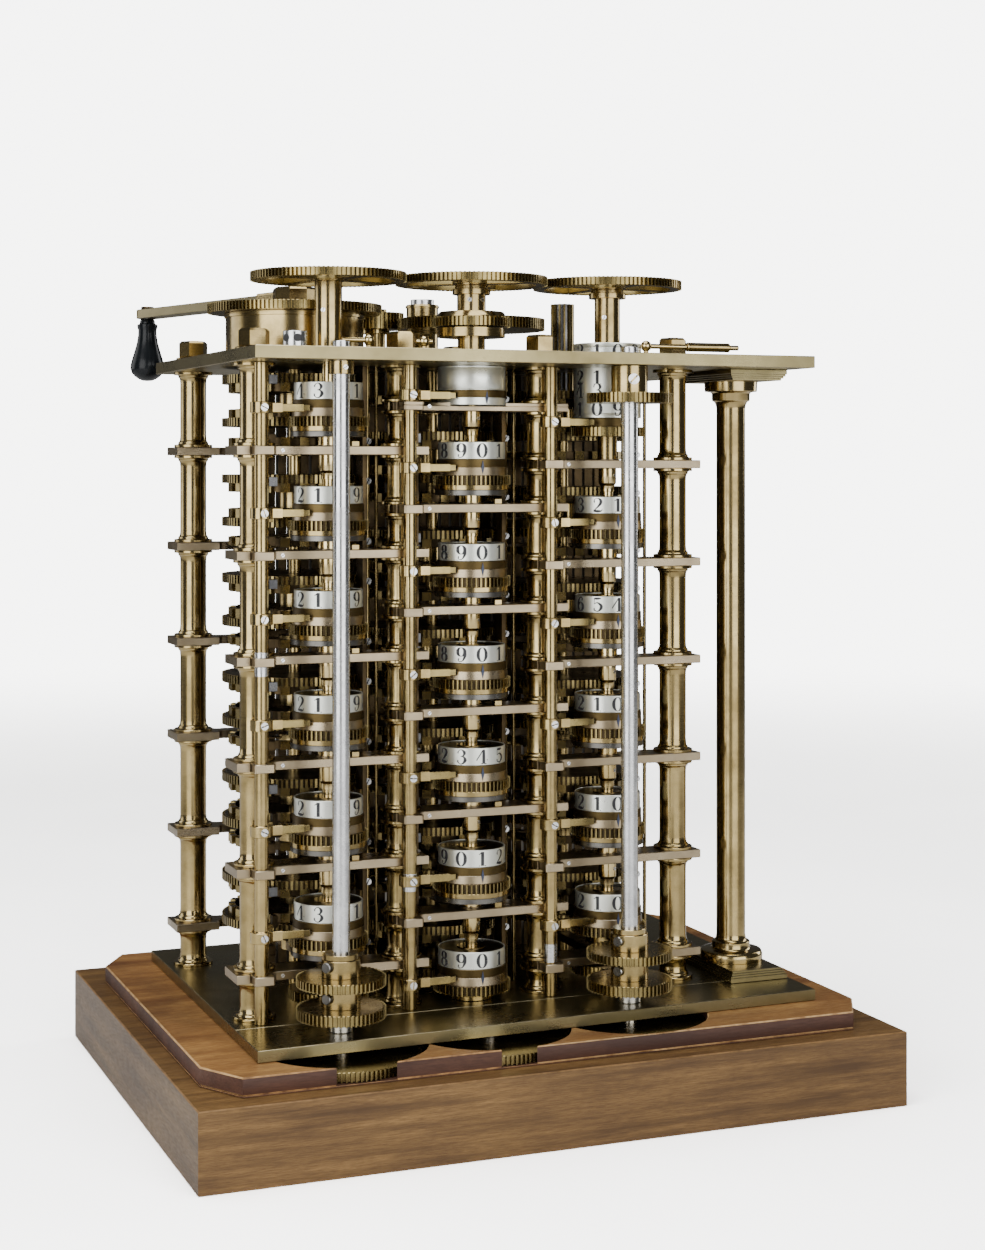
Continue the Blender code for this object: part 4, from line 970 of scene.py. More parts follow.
class ScrewSetter:
    """Geometry Nodes tree that sets slotted screw heads on points, with a dark strip of painted shade at the
    bottom of each slot.
    """

    SIDES = 16
    SLOT_WIDTH = 0.32
    SLOT_DEPTH = 0.4
    BAR_LENGTH = 3.0
    SHADE_STRIP_LENGTH = 1.9
    SHADE_STRIP_HEIGHT = 0.1

    def __init__(self) -> None:
        """Build the tree and start with no spots."""
        self.spots: dict[str, list[ScrewSpot]] = {}
        inputs = [("Geometry", GEOMETRY, None), ("Slot Width", FLOAT, self.SLOT_WIDTH),
                  ("Slot Depth", FLOAT, self.SLOT_DEPTH), ("Finish", "NodeSocketMaterial", None),
                  ("Slot Shade Finish", "NodeSocketMaterial", None)]
        sheet, given, result = new_group("slotted_screws", "GeometryNodeTree", inputs, ["Geometry"],
                                         GEOMETRY)
        self.tree = sheet.tree
        width, depth = given["Slot Width"], given["Slot Depth"]
        head = sheet.out("GeometryNodeMeshCylinder", Vertices=self.SIDES, Radius=1.0, Depth=1.0)
        bar = self._bar(sheet, (self.BAR_LENGTH, width, 1.0), sheet.math("SUBTRACT", 1.0, depth))
        cut = sheet.feed(sheet.node("GeometryNodeMeshBoolean", operation="DIFFERENCE"), Mesh_1=head,
                         Mesh_2=bar)[0]
        # A thin strip at the slot's bottom is painted shade; its faces take the black finish.
        shade_strip = self._bar(sheet, (self.SHADE_STRIP_LENGTH, width, self.SHADE_STRIP_HEIGHT),
                          sheet.math("SUBTRACT", 0.5, depth))
        shadow = sheet.node("GeometryNodeStoreNamedAttribute", data_type="BOOLEAN", domain="FACE")
        whole_head = sheet.node("GeometryNodeJoinGeometry")
        for part in (sheet.feed(shadow, Geometry=shade_strip, Name="painted_slot_shade", Value=True)[0], cut):
            self.tree.links.new(part, whole_head.inputs[0])
        turn = sheet.vector(z=self._attribute(sheet, "turn", "FLOAT"))
        facing = sheet.feed(sheet.node("FunctionNodeAlignRotationToVector", axis="Z"),
                            Vector=self._attribute(sheet, "aim", "FLOAT_VECTOR"))[0]
        whole = sheet.feed(sheet.node("FunctionNodeRotateRotation", rotation_space="LOCAL"), i0=facing,
                           i1=sheet.out("FunctionNodeEulerToRotation", i0=turn))[0]
        copies = sheet.out("GeometryNodeInstanceOnPoints", Points=given["Geometry"],
                           Instance=whole_head.outputs[0], Rotation=whole,
                           Scale=self._attribute(sheet, "size", "FLOAT_VECTOR"))
        real = sheet.out("GeometryNodeRealizeInstances", Geometry=copies)
        painted = sheet.out("GeometryNodeSetMaterial", Geometry=real, Material=given["Finish"])
        filled = sheet.out("GeometryNodeSetMaterial", Geometry=painted, Material=given["Slot Shade Finish"],
                           Selection=self._attribute(sheet, "painted_slot_shade", "BOOLEAN"))
        sheet.feed(result, Geometry=filled)

    @staticmethod
    def _bar(sheet: NodeSheet, size: Sequence[object], rise: NodeSocket) -> NodeSocket:
        """Bar that lies across the head at a height."""
        bar = sheet.out("GeometryNodeMeshCube", Size=sheet.vector(*size))
        return sheet.out("GeometryNodeTransform", Geometry=bar, Translation=sheet.vector(z=rise))

    @staticmethod
    def _attribute(sheet: NodeSheet, name: str, kind: str) -> NodeSocket:
        """Output of a named attribute."""
        return sheet.feed(sheet.node("GeometryNodeInputNamedAttribute", data_type=kind), Name=name)[
            "Attribute"]

    def add(self, body: str, place: Sequence[float], aim: Sequence[float], radius: float = 2.7 * MM,
            height: float = 1.6 * MM, turn: float = 0.6) -> None:
        """Keep a spot for the screw piece of a body."""
        spot = ScrewSpot(Vector(place), Vector(aim).normalized(), radius, height, turn)
        self.spots.setdefault(body, []).append(spot)

    def around(self, body: str, axis: Point, z: float, radius: float, angle: float,
               head: float = 2.7 * MM, height: float = 1.6 * MM, turn: float = 0.6) -> None:
        """Keep a spot on the side of a turned part.

        Args:
            body: Body that the screw rides on.
            axis: Axis of the part in plan.
            z: Height of the screw.
            radius: Radius of the part there.
            angle: Direction that the screw faces, in degrees.
            head: Radius of the head.
            height: Height of the head.
            turn: Angle of the slot in radians.
        """
        aim = Vector((math.cos(math.radians(angle)), math.sin(math.radians(angle)), 0.0))
        spot = Vector((axis[0], axis[1], z)) + aim * radius
        self.add(body, spot, aim, head, height, turn)

    def build(self) -> None:
        """Bake one screw piece for each body."""
        for body, spots in self.spots.items():
            points = bpy.data.meshes.new(f"screw_points_{body}")
            points.from_pydata([spot.place for spot in spots], [], [])
            for name, values in (
                ("aim", [c for spot in spots for c in spot.aim]),
                ("size", [c for s in spots for c in (s.radius, s.radius, s.height)]),
            ):
                points.attributes.new(name, "FLOAT_VECTOR", "POINT").data.foreach_set("vector", values)
            turns = [spot.turn for spot in spots]
            points.attributes.new("turn", "FLOAT", "POINT").data.foreach_set("value", turns)
            settings = {"Slot Width": self.SLOT_WIDTH, "Slot Depth": self.SLOT_DEPTH,
                        "Finish": MATERIALS[Finish.STEEL], "Slot Shade Finish": MATERIALS[Finish.INK_AND_PAINTED_SHADE]}
            mesh = bake_tree(self.tree, settings, points)
            mesh.name = f"screws_{body}"
            seat(put(mesh.name, mesh), body)


CUTTER = ToothCutter()
SCREWS = ScrewSetter()


@dataclass(frozen=True)
class Woodwork:
    """Plinth, and the worn board on it with three wells that run into each other."""

    clip_x: float = 0.0235
    clip_y: float = 0.041
    well_radii: tuple[float, ...] = (0.0708, 0.0681, 0.0662)
    floor: float = 0.0012
    plinth_edge: float = 0.9 * MM
    board_edge: float = 1.1 * MM
    arc_steps: int = 36

    def build(self) -> None:
        """Build both pieces of wood."""
        low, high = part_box("plinth")
        plinth = Draft()
        plinth.prism(block_outline(low.x, low.y, high.x, high.y), low.z, high.z, Finish.WALNUT,
                     edge=self.plinth_edge)
        plinth.refinish(Finish.WALNUT_ENDS, lambda normal: abs(normal.x) > 0.9)
        plinth.piece("walnut_plinth", "base", "walnut", ["plinth"])
        low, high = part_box("inner_base")
        board = Draft()
        top_of_floor = low.z + self.floor
        for outline in (self._main_outline(low, high), self._tongue_outline(low)):
            board.prism(outline, top_of_floor, high.z, Finish.OLD_WOOD, edge=self.board_edge)
        # Upright faces and the wells' floors take the darker wood, which paints the shade inside the wells.
        board.refinish(Finish.OLD_WOOD_SIDES_AND_WELL_SHADE, lambda normal: abs(normal.z) < 0.3)
        board.prism(self._clipped(low, high), low.z, top_of_floor, Finish.OLD_WOOD_SIDES_AND_WELL_SHADE, edge=0.2 * MM)
        board.piece("worn_board", "base", "worn_walnut", ["inner_base"])

    def _clipped(self, low: Vector, high: Vector) -> list[Point]:
        """Outline of the board with its corners cut off."""
        return [
            (low.x + self.clip_x, low.y), (high.x - self.clip_x, low.y),
            (high.x, low.y + self.clip_y), (high.x, high.y - self.clip_y),
            (high.x - self.clip_x, high.y), (low.x + self.clip_x, high.y),
            (low.x, high.y - self.clip_y), (low.x, low.y + self.clip_y),
        ]

    def _meeting(self, first: int) -> tuple[float, float]:
        """Angles above the row at which a well meets the next, seen from each."""
        run = LAYOUT.column_pitch
        near, far = self.well_radii[first], self.well_radii[first + 1]
        along = (run**2 + near**2 - far**2) / (2 * run)
        rise = math.sqrt(near**2 - along**2)
        return math.degrees(math.atan2(rise, along)), math.degrees(math.atan2(rise, run - along))

    def _mouth(self, number: int, front: float) -> float:
        """Angle below the row at which a well breaks the front face."""
        reach = LAYOUT.drive_axes[number][1] - front
        return math.degrees(math.asin(reach / self.well_radii[number]))

    def _main_outline(self, low: Vector, high: Vector) -> list[Point]:
        """Outline of the board behind the wells, with their back and right sides."""
        clipped = self._clipped(low, high)
        one, two, three = LAYOUT.drive_axes
        first, second, third = self.well_radii
        from_one, from_two = self._meeting(0)
        to_three, from_three = self._meeting(1)
        steps = self.arc_steps
        return [
            clipped[0], *arc(one, first, 180 + self._mouth(0, low.y), from_one, steps),
            *arc(two, second, 180 - from_two, to_three, steps)[1:],
            *arc(three, third, 180 - from_three, -180 + from_three, 2 * steps)[1:],
            *arc(two, second, -to_three, -self._mouth(1, low.y), steps // 3)[1:], *clipped[1:],
        ]

    def _tongue_outline(self, low: Vector) -> list[Point]:
        """Outline of the wood left standing between the first two mouths."""
        one, two, _ = LAYOUT.drive_axes
        from_one, from_two = self._meeting(0)
        steps = self.arc_steps // 3
        return [
            *arc(two, self.well_radii[1], 180 + self._mouth(1, low.y), 180 + from_two, steps),
            *arc(one, self.well_radii[0], -from_one, -self._mouth(0, low.y), steps)[1:],
        ]


@dataclass(frozen=True)
class Plates:
    """Base plate, its front strip, and the top plate."""

    drum_hole: float = 0.0311
    edge: float = 0.5 * MM
    strip_left_y: float = -0.188
    strip_right_y: float = -0.176

    def build(self) -> None:
        """Build the three plates."""
        low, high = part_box("base_strip")
        slanted = [(low.x, self.strip_left_y), (high.x, self.strip_right_y), (high.x, high.y),
                   (low.x, high.y)]
        drum = ring_points(LAYOUT.axis(2), self.drum_hole, 48)
        for name, node, outline, holes in (
            ("brass_base_plate", "base_plate", None, []),
            ("brass_front_strip", "base_strip", slanted, []),
            ("brass_top_plate", "top_plate", None, [drum]),
        ):
            low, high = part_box(node)
            outline = outline or block_outline(low.x, low.y, high.x, high.y)
            plate = Draft()
            plate.prism(outline, low.z, high.z, Finish.PLATE, holes=holes, edge=self.edge)
            plate.piece(name, "base", "plate_brass", [node])


@dataclass(frozen=True)
class Frames:
    """Flanged posts and the platforms they carry."""

    tube: float = 0.0118
    flange: float = 0.0172
    end_flange: float = 0.0177
    flange_height: float = 0.0025
    bead: float = 0.0136
    bead_height: float = 0.0021
    flare: float = 0.006
    sides: int = 30
    bar_half_depth: float = 0.016
    lug_end: float = 0.0195
    back_half_depth: float = 0.009
    web_half_width: float = 0.0105
    eye_reach: float = 0.009
    eye_half_width: float = 0.0095
    fillet: float = 0.0055
    eye_clip: float = 1.5 * MM
    split: float = 0.0011
    cap: float = 0.0008
    recess_radius: float = 0.03
    recess_depth: float = 0.003
    hub: float = 0.0079
    hub_drop: float = 0.014
    neck: float = 0.0062
    neck_drop: float = 0.0205
    bearing_levels: tuple[int, ...] = (0, 5)
    bearing: float = 0.0128
    boss: float = 0.0108
    stop: tuple[float, ...] = (0.0165, -0.0135, 0.0225, -0.0075)
    stop_height: float = 0.0042
    lug_screw: float = 0.02
    hub_screw: float = 0.006
    hub_screw_angle: float = -62.0
    edge: float = 0.5 * MM

    def build(self) -> None:
        """Build the frames and the last pair of posts."""
        for column in range(3):
            draft = Draft()
            for level in range(LAYOUT.platform_count):
                self._platform(draft, column, level)
            self._post(draft, column, LAYOUT.front_y)
            self._post(draft, column, LAYOUT.back_y)
            draft.piece(f"posts_and_platforms_{column + 1}", "base", "aged_brass", [f"frame_{column + 1}"])
        draft = Draft()
        self._post(draft, 3, LAYOUT.front_y)
        self._post(draft, 3, LAYOUT.back_y)
        draft.piece("last_posts", "base", "aged_brass", ["front_post", "back_post"])

    def _collar(self, z: float, sign: int, flange: float) -> list[Point]:
        """Flange, bead and flare that grow from a flat face at a height."""
        bead_low = self.flange_height
        bead_high = bead_low + self.bead_height
        points = [
            (flange, 0.0), (flange, self.flange_height), (self.bead + 0.9 * MM, bead_low),
            (self.bead, bead_low + 0.5 * MM), (self.bead, bead_high),
            (self.tube + 0.9 * MM, bead_high + 0.6 * MM), (self.tube + 0.3 * MM, bead_high + 2.2 * MM),
            (self.tube, bead_high + self.flare),
        ]
        placed = [(radius, z + sign * rise) for radius, rise in points]
        return placed if sign > 0 else placed[::-1]

    def _post(self, draft: Draft, number: int, y: float) -> None:
        """Turn one post with a pair of collars at each platform that it carries."""
        heights = sorted(
            LAYOUT.platform_z(column, level) for column in (number - 1, number) if 0 <= column < 3
            for level in range(LAYOUT.platform_count)
        )
        profile = self._collar(LAYOUT.plate_low, 1, self.end_flange)
        for z in heights:
            low, high = z - LAYOUT.platform_thickness / 2, z + LAYOUT.platform_thickness / 2
            profile += self._collar(low, -1, self.flange)
            profile += cylinder(self.tube, low, high)
            profile += self._collar(high, 1, self.flange)
        profile += self._collar(LAYOUT.plate_high, -1, self.end_flange)
        draft.lathe(capped(profile), Finish.TURNED, (LAYOUT.post_x(number), y), self.sides, edge=0.35 * MM)

    def _front_outline(self, column: int) -> list[Point]:
        """Outline of a front bar, with a rounded eye for the index rod."""
        x0, y = LAYOUT.post_x(column), LAYOUT.front_y
        left = x0 - self.eye_half_width + self.cap + self.split
        right, turn = x0 + self.eye_half_width, self.fillet
        front, eye_front = y - self.bar_half_depth, LAYOUT.pointer_y - self.eye_reach
        side = self.lug_end if column == 0 else self.bar_half_depth
        end, back = x0 + LAYOUT.column_pitch + self.lug_end, y + self.bar_half_depth
        eye = [
            (left, y - side), (left, eye_front + self.eye_clip), (left + self.eye_clip, eye_front),
            (right - self.eye_clip, eye_front), (right, eye_front + self.eye_clip),
            *arc((right + turn, front - turn), turn, 180, 90, 5), (end, front), (end, back),
        ]
        if column:
            return [*eye, (left, y + side)]
        inside = arc((right + turn, back + turn), turn, 270, 180, 5)
        return [*eye, *inside, (right, y + side), (left, y + side)]

    def _back_outline(self, column: int) -> list[Point]:
        """Outline of a back bar, with a square lug on each back post."""
        x0 = LAYOUT.post_x(column)
        x1 = x0 + LAYOUT.column_pitch
        lug, half, turn = self.lug_end, self.back_half_depth, self.fillet
        front = [
            (x0 - lug, -lug), (x0 + lug, -lug), *arc((x0 + lug + turn, -half - turn), turn, 180, 90, 5),
            *arc((x1 - lug - turn, -half - turn), turn, 90, 0, 5), (x1 - lug, -lug), (x1 + lug, -lug),
        ]
        offsets = front + [(x, -y) for x, y in reversed(front)]
        return [(x, LAYOUT.back_y + y) for x, y in offsets]

    def _platform(self, draft: Draft, column: int, level: int) -> None:
        """Add a platform's bars with their split lug, hub, web and screws."""
        z = LAYOUT.platform_z(column, level)
        low, high = z - LAYOUT.platform_thickness / 2, z + LAYOUT.platform_thickness / 2
        x, y, post = LAYOUT.column_x[column], LAYOUT.front_y, LAYOUT.post_x(column)
        if (column, level) == (1, 0):
            floor = high - self.recess_depth
            draft.prism(self._front_outline(column), low, floor, Finish.BAR, edge=self.edge)
            self._recess_rims(draft, column, floor - 0.2 * MM, high)
        else:
            draft.prism(self._front_outline(column), low, high, Finish.BAR, edge=self.edge)
        draft.prism(self._back_outline(column), low, high, Finish.BAR, edge=self.edge)
        self._split_lug(draft, column, low, high)
        if level in self.bearing_levels:
            half = self.web_half_width
            draft.block((x - half, y + self.bar_half_depth - 1.0 * MM, low + 0.1 * MM),
                        (x + half, LAYOUT.back_y, high - 0.1 * MM), Finish.BAR)
            draft.stack([(self.bearing, low - 0.8 * MM, high + 0.3 * MM)], (x, LAYOUT.rear_y), 24)
        hub = [
            (self.neck, low - self.neck_drop), (self.neck, low - self.hub_drop - 1.2 * MM),
            (self.hub - 0.8 * MM, low - self.hub_drop), (self.hub, low - self.hub_drop + 1.0 * MM),
            (self.hub, low + 0.1 * MM),
        ]
        draft.lathe(capped(hub), Finish.BRIGHT, (x, y), 24)
        SCREWS.around("base", (x, y), low - self.hub_screw, self.hub, self.hub_screw_angle,
                      head=1.5 * MM, height=1.0 * MM)
        if (column, level) != (1, 0):
            draft.stack([(self.boss, high - 0.1 * MM, high + 0.9 * MM, Finish.BAR)], (x, y), 24)
            left, front, right, back = self.stop
            draft.block((x + left, y + front, high - 0.1 * MM),
                        (x + right, y + back, high + self.stop_height), Finish.TURNED)
        SCREWS.add("base", (post + self.lug_screw, y - self.bar_half_depth, z), (0, -1, 0),
                   radius=1.6 * MM, height=0.5 * MM)

    def _split_lug(self, draft: Draft, column: int, low: float, high: float) -> None:
        """Add the separate left end of a front bar, with a dark split beside it."""
        y = LAYOUT.front_y
        half = self.lug_end if column == 0 else self.bar_half_depth
        seam = LAYOUT.post_x(column) - self.eye_half_width + self.cap
        end = LAYOUT.post_x(column) - (self.lug_end if column == 0 else self.eye_half_width)
        draft.block((end, y - half, low), (seam, y + half, high), Finish.BAR, edge=0.3 * MM)
        draft.block((seam - 0.2 * MM, y - half + 0.5 * MM, low + 0.5 * MM),
                    (seam + self.split + 0.2 * MM, y + half - 0.5 * MM, high - 0.5 * MM),
                    Finish.DARK, edge=0.1 * MM)

    def _recess_rims(self, draft: Draft, column: int, low: float, high: float) -> None:
        """Add the two raised ends of a front bar that has a round recess between them."""
        axis, half = LAYOUT.axis(column), self.bar_half_depth
        swing = math.degrees(math.asin(half / self.recess_radius))
        for on_right in (True, False):
            side = [point for point in self._front_outline(column) if (point[0] > axis[0]) == on_right]
            turn = 0 if on_right else 180
            rim = arc(axis, self.recess_radius, turn + swing, turn - swing, 12)
            draft.prism([*side, *rim], low, high, Finish.BAR, edge=self.edge)


@dataclass(frozen=True)
class Nuts:
    """Tall hexagon nuts with washers on the posts' studs."""

    washer: float = 0.0155
    corner: float = 0.0132
    stud: float = 0.007
    washer_height: float = 2.6 * MM

    def build(self) -> None:
        """Build the eight nuts."""
        for row, y in (("front", LAYOUT.front_y), ("back", LAYOUT.back_y)):
            for number in range(4):
                node = f"{row}_nut_{number + 1}"
                low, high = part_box(node)
                axis = (LAYOUT.post_x(number), y)
                foot = low.z + self.washer_height
                draft = Draft()
                washer = [(self.washer, low.z), (self.washer, foot - 0.6 * MM),
                          (self.washer - 1.2 * MM, foot)]
                draft.lathe(capped(washer), Finish.TURNED, axis, 32)
                nut = [(self.corner - 0.6 * MM, foot), (self.corner, foot + 0.9 * MM),
                       (self.corner, high.z - 2.4 * MM), (self.corner - 2.2 * MM, high.z - 0.4 * MM)]
                draft.lathe(capped(nut), Finish.TURNED, axis, 6, edge=0.0)
                stud = [(self.stud, foot), (self.stud, high.z - 0.5 * MM), (self.stud - 1.5 * MM, high.z)]
                draft.lathe(capped(stud), Finish.DARK, axis, 16)
                draft.piece(f"hexagon_{node}", "base", "aged_brass", [node], smooth_angle=25)


@dataclass(frozen=True)
class PointerRods:
    """Rod in front of each column, with a clamp and a pointer for each wheel."""

    rod: float = 0.0058
    clamp: float = 0.0093
    clamp_height: float = 0.009
    arm_height: float = 0.0064
    arm_thickness: float = 0.003
    drop: float = 0.0145
    drum_drop: float = 0.0257
    standoff: float = 0.0225
    tip_length: float = 0.0065
    sleeve_wall: float = 0.12 * MM
    screw_angle: float = -90.0
    screw_head: float = 0.0031
    bare: tuple[tuple[int, float, float], ...] = ((0, 0.372, 0.392), (1, 0.188, 0.203), (2, 0.118, 0.134))
    arm_start: float = 0.004
    arm_stop: float = 0.006
    root_start: float = 0.006
    root_stop: float = 0.017

    def heights(self, column: int) -> list[float]:
        """Heights of a column's clamps, from the bottom up."""
        count = LAYOUT.wheel_counts[column]
        heights = [LAYOUT.wheel_z(column, place) - self.drop for place in range(count)]
        if LAYOUT.first_wheel_levels[column]:
            over = LAYOUT.platform_z(column, 0) + LAYOUT.wheel_rises[column] - self.drop
            heights.append(min(over, LAYOUT.plate_high - self.drum_drop))
        return sorted(heights)

    def build(self) -> None:
        """Build the three rods."""
        for column in range(3):
            draft = Draft()
            axis = (LAYOUT.post_x(column), LAYOUT.pointer_y)
            low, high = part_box(f"pointer_rod_{column + 1}")
            profile = [(self.rod, low.z)]
            for z in self.heights(column):
                foot, head = z - self.clamp_height / 2, z + self.clamp_height / 2
                profile += [(self.rod, foot), (self.clamp, foot), (self.clamp, head), (self.rod, head)]
                self._arm(draft, axis, z, LAYOUT.column_x[column] - self.standoff)
                SCREWS.around("base", axis, z, self.clamp - 0.3 * MM, self.screw_angle,
                              self.screw_head, turn=0.5 + 9.0 * z)
            profile.append((self.rod, high.z))
            draft.lathe(capped(profile), Finish.TURNED, axis, 24)
            for owner, foot, head in self.bare:
                if owner == column:
                    sleeve = cylinder(self.rod + self.sleeve_wall, foot, head)
                    draft.lathe(capped(sleeve), Finish.STEEL, axis, 24)
            draft.piece(f"index_rod_{column + 1}", "base", "aged_brass", [f"pointer_rod_{column + 1}"])

    def _arm(self, draft: Draft, axis: Point, z: float, tip_x: float) -> None:
        """Add a flat arm with a stepped root and a pointed tip."""
        half, thick = self.arm_height / 2, self.arm_thickness / 2
        y = axis[1]
        draft.block((axis[0] + self.arm_start, y - thick, z - half),
                    (tip_x - self.arm_stop, y + thick, z + half), Finish.GEAR, edge=0.35 * MM)
        draft.block((axis[0] + self.root_start, y - thick - 1.2 * MM, z - half - 0.8 * MM),
                    (axis[0] + self.root_stop, y + thick + 0.6 * MM, z + half + 0.8 * MM), Finish.TURNED,
                    edge=0.4 * MM)
        root = tip_x - self.tip_length
        tip = [(root, y - thick), (tip_x - 0.001, y - thick * 0.7), (tip_x, y + thick * 0.5),
               (root, y + thick)]
        draft.prism(tip, z - half * 0.8, z + half * 0.8, Finish.GEAR, edge=0.3 * MM)


def ellipse(x: float, y: float, half_width: float, half_height: float) -> tuple[tuple, ...]:
    """Closed stroke round an ellipse, thick at its sides and thin above and below."""
    points = []
    for i in range(21):
        turn = 2 * math.pi * i / 20
        thick = 0.014 + 0.08 * abs(math.cos(turn)) ** 1.3
        points.append((x + half_width * math.cos(turn), y + half_height * math.sin(turn), thick))
    return tuple(points)


@dataclass(frozen=True)
class Numerals:
    """Plain bold numerals as strokes of (x, y, half-width), one unit high."""

    strokes: dict[int, tuple] = field(default_factory=lambda: {
        0: (ellipse(0.0, 0.5, 0.235, 0.485),),
        1: (((0.02, 0.98, 0.09), (0.02, 0.5, 0.09), (0.02, 0.02, 0.09)),
            ((-0.19, 0.018, 0.018), (0.23, 0.018, 0.018)),
            ((-0.2, 0.8, 0.015), (-0.1, 0.86, 0.03), (0.0, 0.95, 0.05))),
        2: (((-0.2, 0.73, 0.03), (-0.15, 0.91, 0.02), (0.03, 0.985, 0.02), (0.2, 0.84, 0.08),
             (0.19, 0.62, 0.08), (0.02, 0.36, 0.045), (-0.23, 0.08, 0.02)),
            ((-0.23, 0.07, 0.03), (-0.08, 0.08, 0.07), (0.1, 0.07, 0.07), (0.25, 0.1, 0.03),
             (0.29, 0.25, 0.012)), ((-0.2, 0.74, 0.06), (-0.14, 0.74, 0.06))),
        3: (((-0.2, 0.78, 0.03), (-0.1, 0.95, 0.02), (0.05, 0.985, 0.03), (0.19, 0.79, 0.08),
             (0.12, 0.58, 0.04), (-0.03, 0.53, 0.015)),
            ((-0.03, 0.53, 0.015), (0.14, 0.49, 0.04), (0.23, 0.28, 0.09), (0.09, 0.04, 0.04),
             (-0.08, 0.015, 0.02), (-0.22, 0.18, 0.03)),
            ((-0.21, 0.8, 0.055), (-0.15, 0.8, 0.055)), ((-0.23, 0.2, 0.06), (-0.16, 0.2, 0.06))),
        4: (((0.09, 0.99, 0.07), (0.09, 0.5, 0.085), (0.09, 0.02, 0.085)),
            ((0.05, 0.97, 0.032), (-0.12, 0.64, 0.03), (-0.31, 0.29, 0.03)),
            ((-0.33, 0.28, 0.036), (0.32, 0.28, 0.036)), ((-0.08, 0.02, 0.024), (0.26, 0.02, 0.024))),
        5: (((-0.17, 0.93, 0.05), (0.03, 0.93, 0.065), (0.22, 0.95, 0.03)),
            ((-0.18, 0.95, 0.015), (-0.18, 0.53, 0.015)),
            ((-0.18, 0.53, 0.02), (0.0, 0.64, 0.03), (0.22, 0.45, 0.08), (0.21, 0.22, 0.08),
             (0.03, 0.02, 0.03), (-0.18, 0.11, 0.03)), ((-0.22, 0.18, 0.06), (-0.15, 0.18, 0.06))),
        6: (ellipse(0.0, 0.31, 0.21, 0.295),
            ((-0.22, 0.3, 0.08), (-0.21, 0.6, 0.08), (-0.08, 0.92, 0.03), (0.1, 0.98, 0.02),
             (0.19, 0.86, 0.02)), ((0.12, 0.82, 0.055), (0.18, 0.82, 0.055))),
        7: (((-0.24, 0.76, 0.012), (-0.22, 0.92, 0.03), (0.0, 0.93, 0.065), (0.27, 0.93, 0.065)),
            ((0.28, 0.92, 0.02), (0.08, 0.52, 0.04), (-0.02, 0.22, 0.085), (-0.02, 0.03, 0.09))),
        8: (ellipse(0.0, 0.755, 0.165, 0.23), ellipse(0.0, 0.27, 0.215, 0.255)),
    })
    height: float = 0.0122
    width_share: float = 1.26
    weight_share: float = 1.28
    proud: float = 0.09 * MM
    smoothing: int = 3

    def stamp(self, draft: Draft, digit: int, axis: Point, radius: float, angle: float, z: float) -> None:
        """Wrap a numeral on a turned band.

        Args:
            draft: Mesh that takes it.
            digit: The numeral.
            axis: Axis of the band.
            radius: Radius of the band.
            angle: Direction of the numeral's middle, in degrees.
            z: Height of the numeral's middle.
        """
        flip = -1 if digit == 9 else 1
        for stroke in self.strokes[6 if digit == 9 else digit]:
            path = smooth_path(stroke, 1 if len(stroke) in (2, 21) else self.smoothing)
            points, faces = [], []
            for i, (x, y, half) in enumerate(path):
                before, after = path[max(i - 1, 0)], path[min(i + 1, len(path) - 1)]
                if i in (0, len(path) - 1) and path[0] == path[-1]:
                    before, after = path[-2], path[1]
                along = Vector((after[0] - before[0], after[1] - before[1])).normalized()
                for side in (-half * self.weight_share, half * self.weight_share):
                    across = flip * (x * self.width_share - along.y * side) * self.height
                    rise = flip * (y + along.x * side - 0.5) * self.height
                    points.append(wrapped(axis, radius + self.proud, angle, across, z + rise))
                if i:
                    faces.append((2 * i - 2, 2 * i, 2 * i + 1, 2 * i - 1))
            middle = Vector((axis[0], axis[1], z))
            a, b, c = (Vector(points[k]) for k in faces[0][:3])
            if (b - a).cross(c - b).dot(a - middle) < 0:
                faces = [face[::-1] for face in faces]
            draft.add(points, faces, Finish.INK_AND_PAINTED_SHADE)


NUMERALS = Numerals()


def wrapped(axis: Point, radius: float, angle: float, across: float, z: float) -> tuple[float, ...]:
    """Point on a band, at a distance across from a direction in degrees."""
    turn = math.radians(angle) + across / radius
    return axis[0] + radius * math.cos(turn), axis[1] + radius * math.sin(turn), z


def smooth_path(points: Sequence[tuple], steps: int) -> list[tuple[float, float, float]]:
    """Run a smooth curve through control points.

    Args:
        points: Control points of (x, y, half-width).
        steps: Spans between two of them.

    Returns:
        The points of the curve.
    """
    path = []
    for i in range(len(points) - 1):
        near = [Vector(points[min(max(i + k, 0), len(points) - 1)]) for k in (-1, 0, 1, 2)]
        for s in range(steps):
            t = s / steps
            value = 0.5 * (2 * near[1] + (near[2] - near[0]) * t
                           + (2 * near[0] - 5 * near[1] + 4 * near[2] - near[3]) * t * t
                           + (3 * near[1] - near[0] - 3 * near[2] + near[3]) * t**3)
            path.append((value.x, value.y, max(value.z, 0.01)))
    path.append(tuple(points[-1]))
    return path


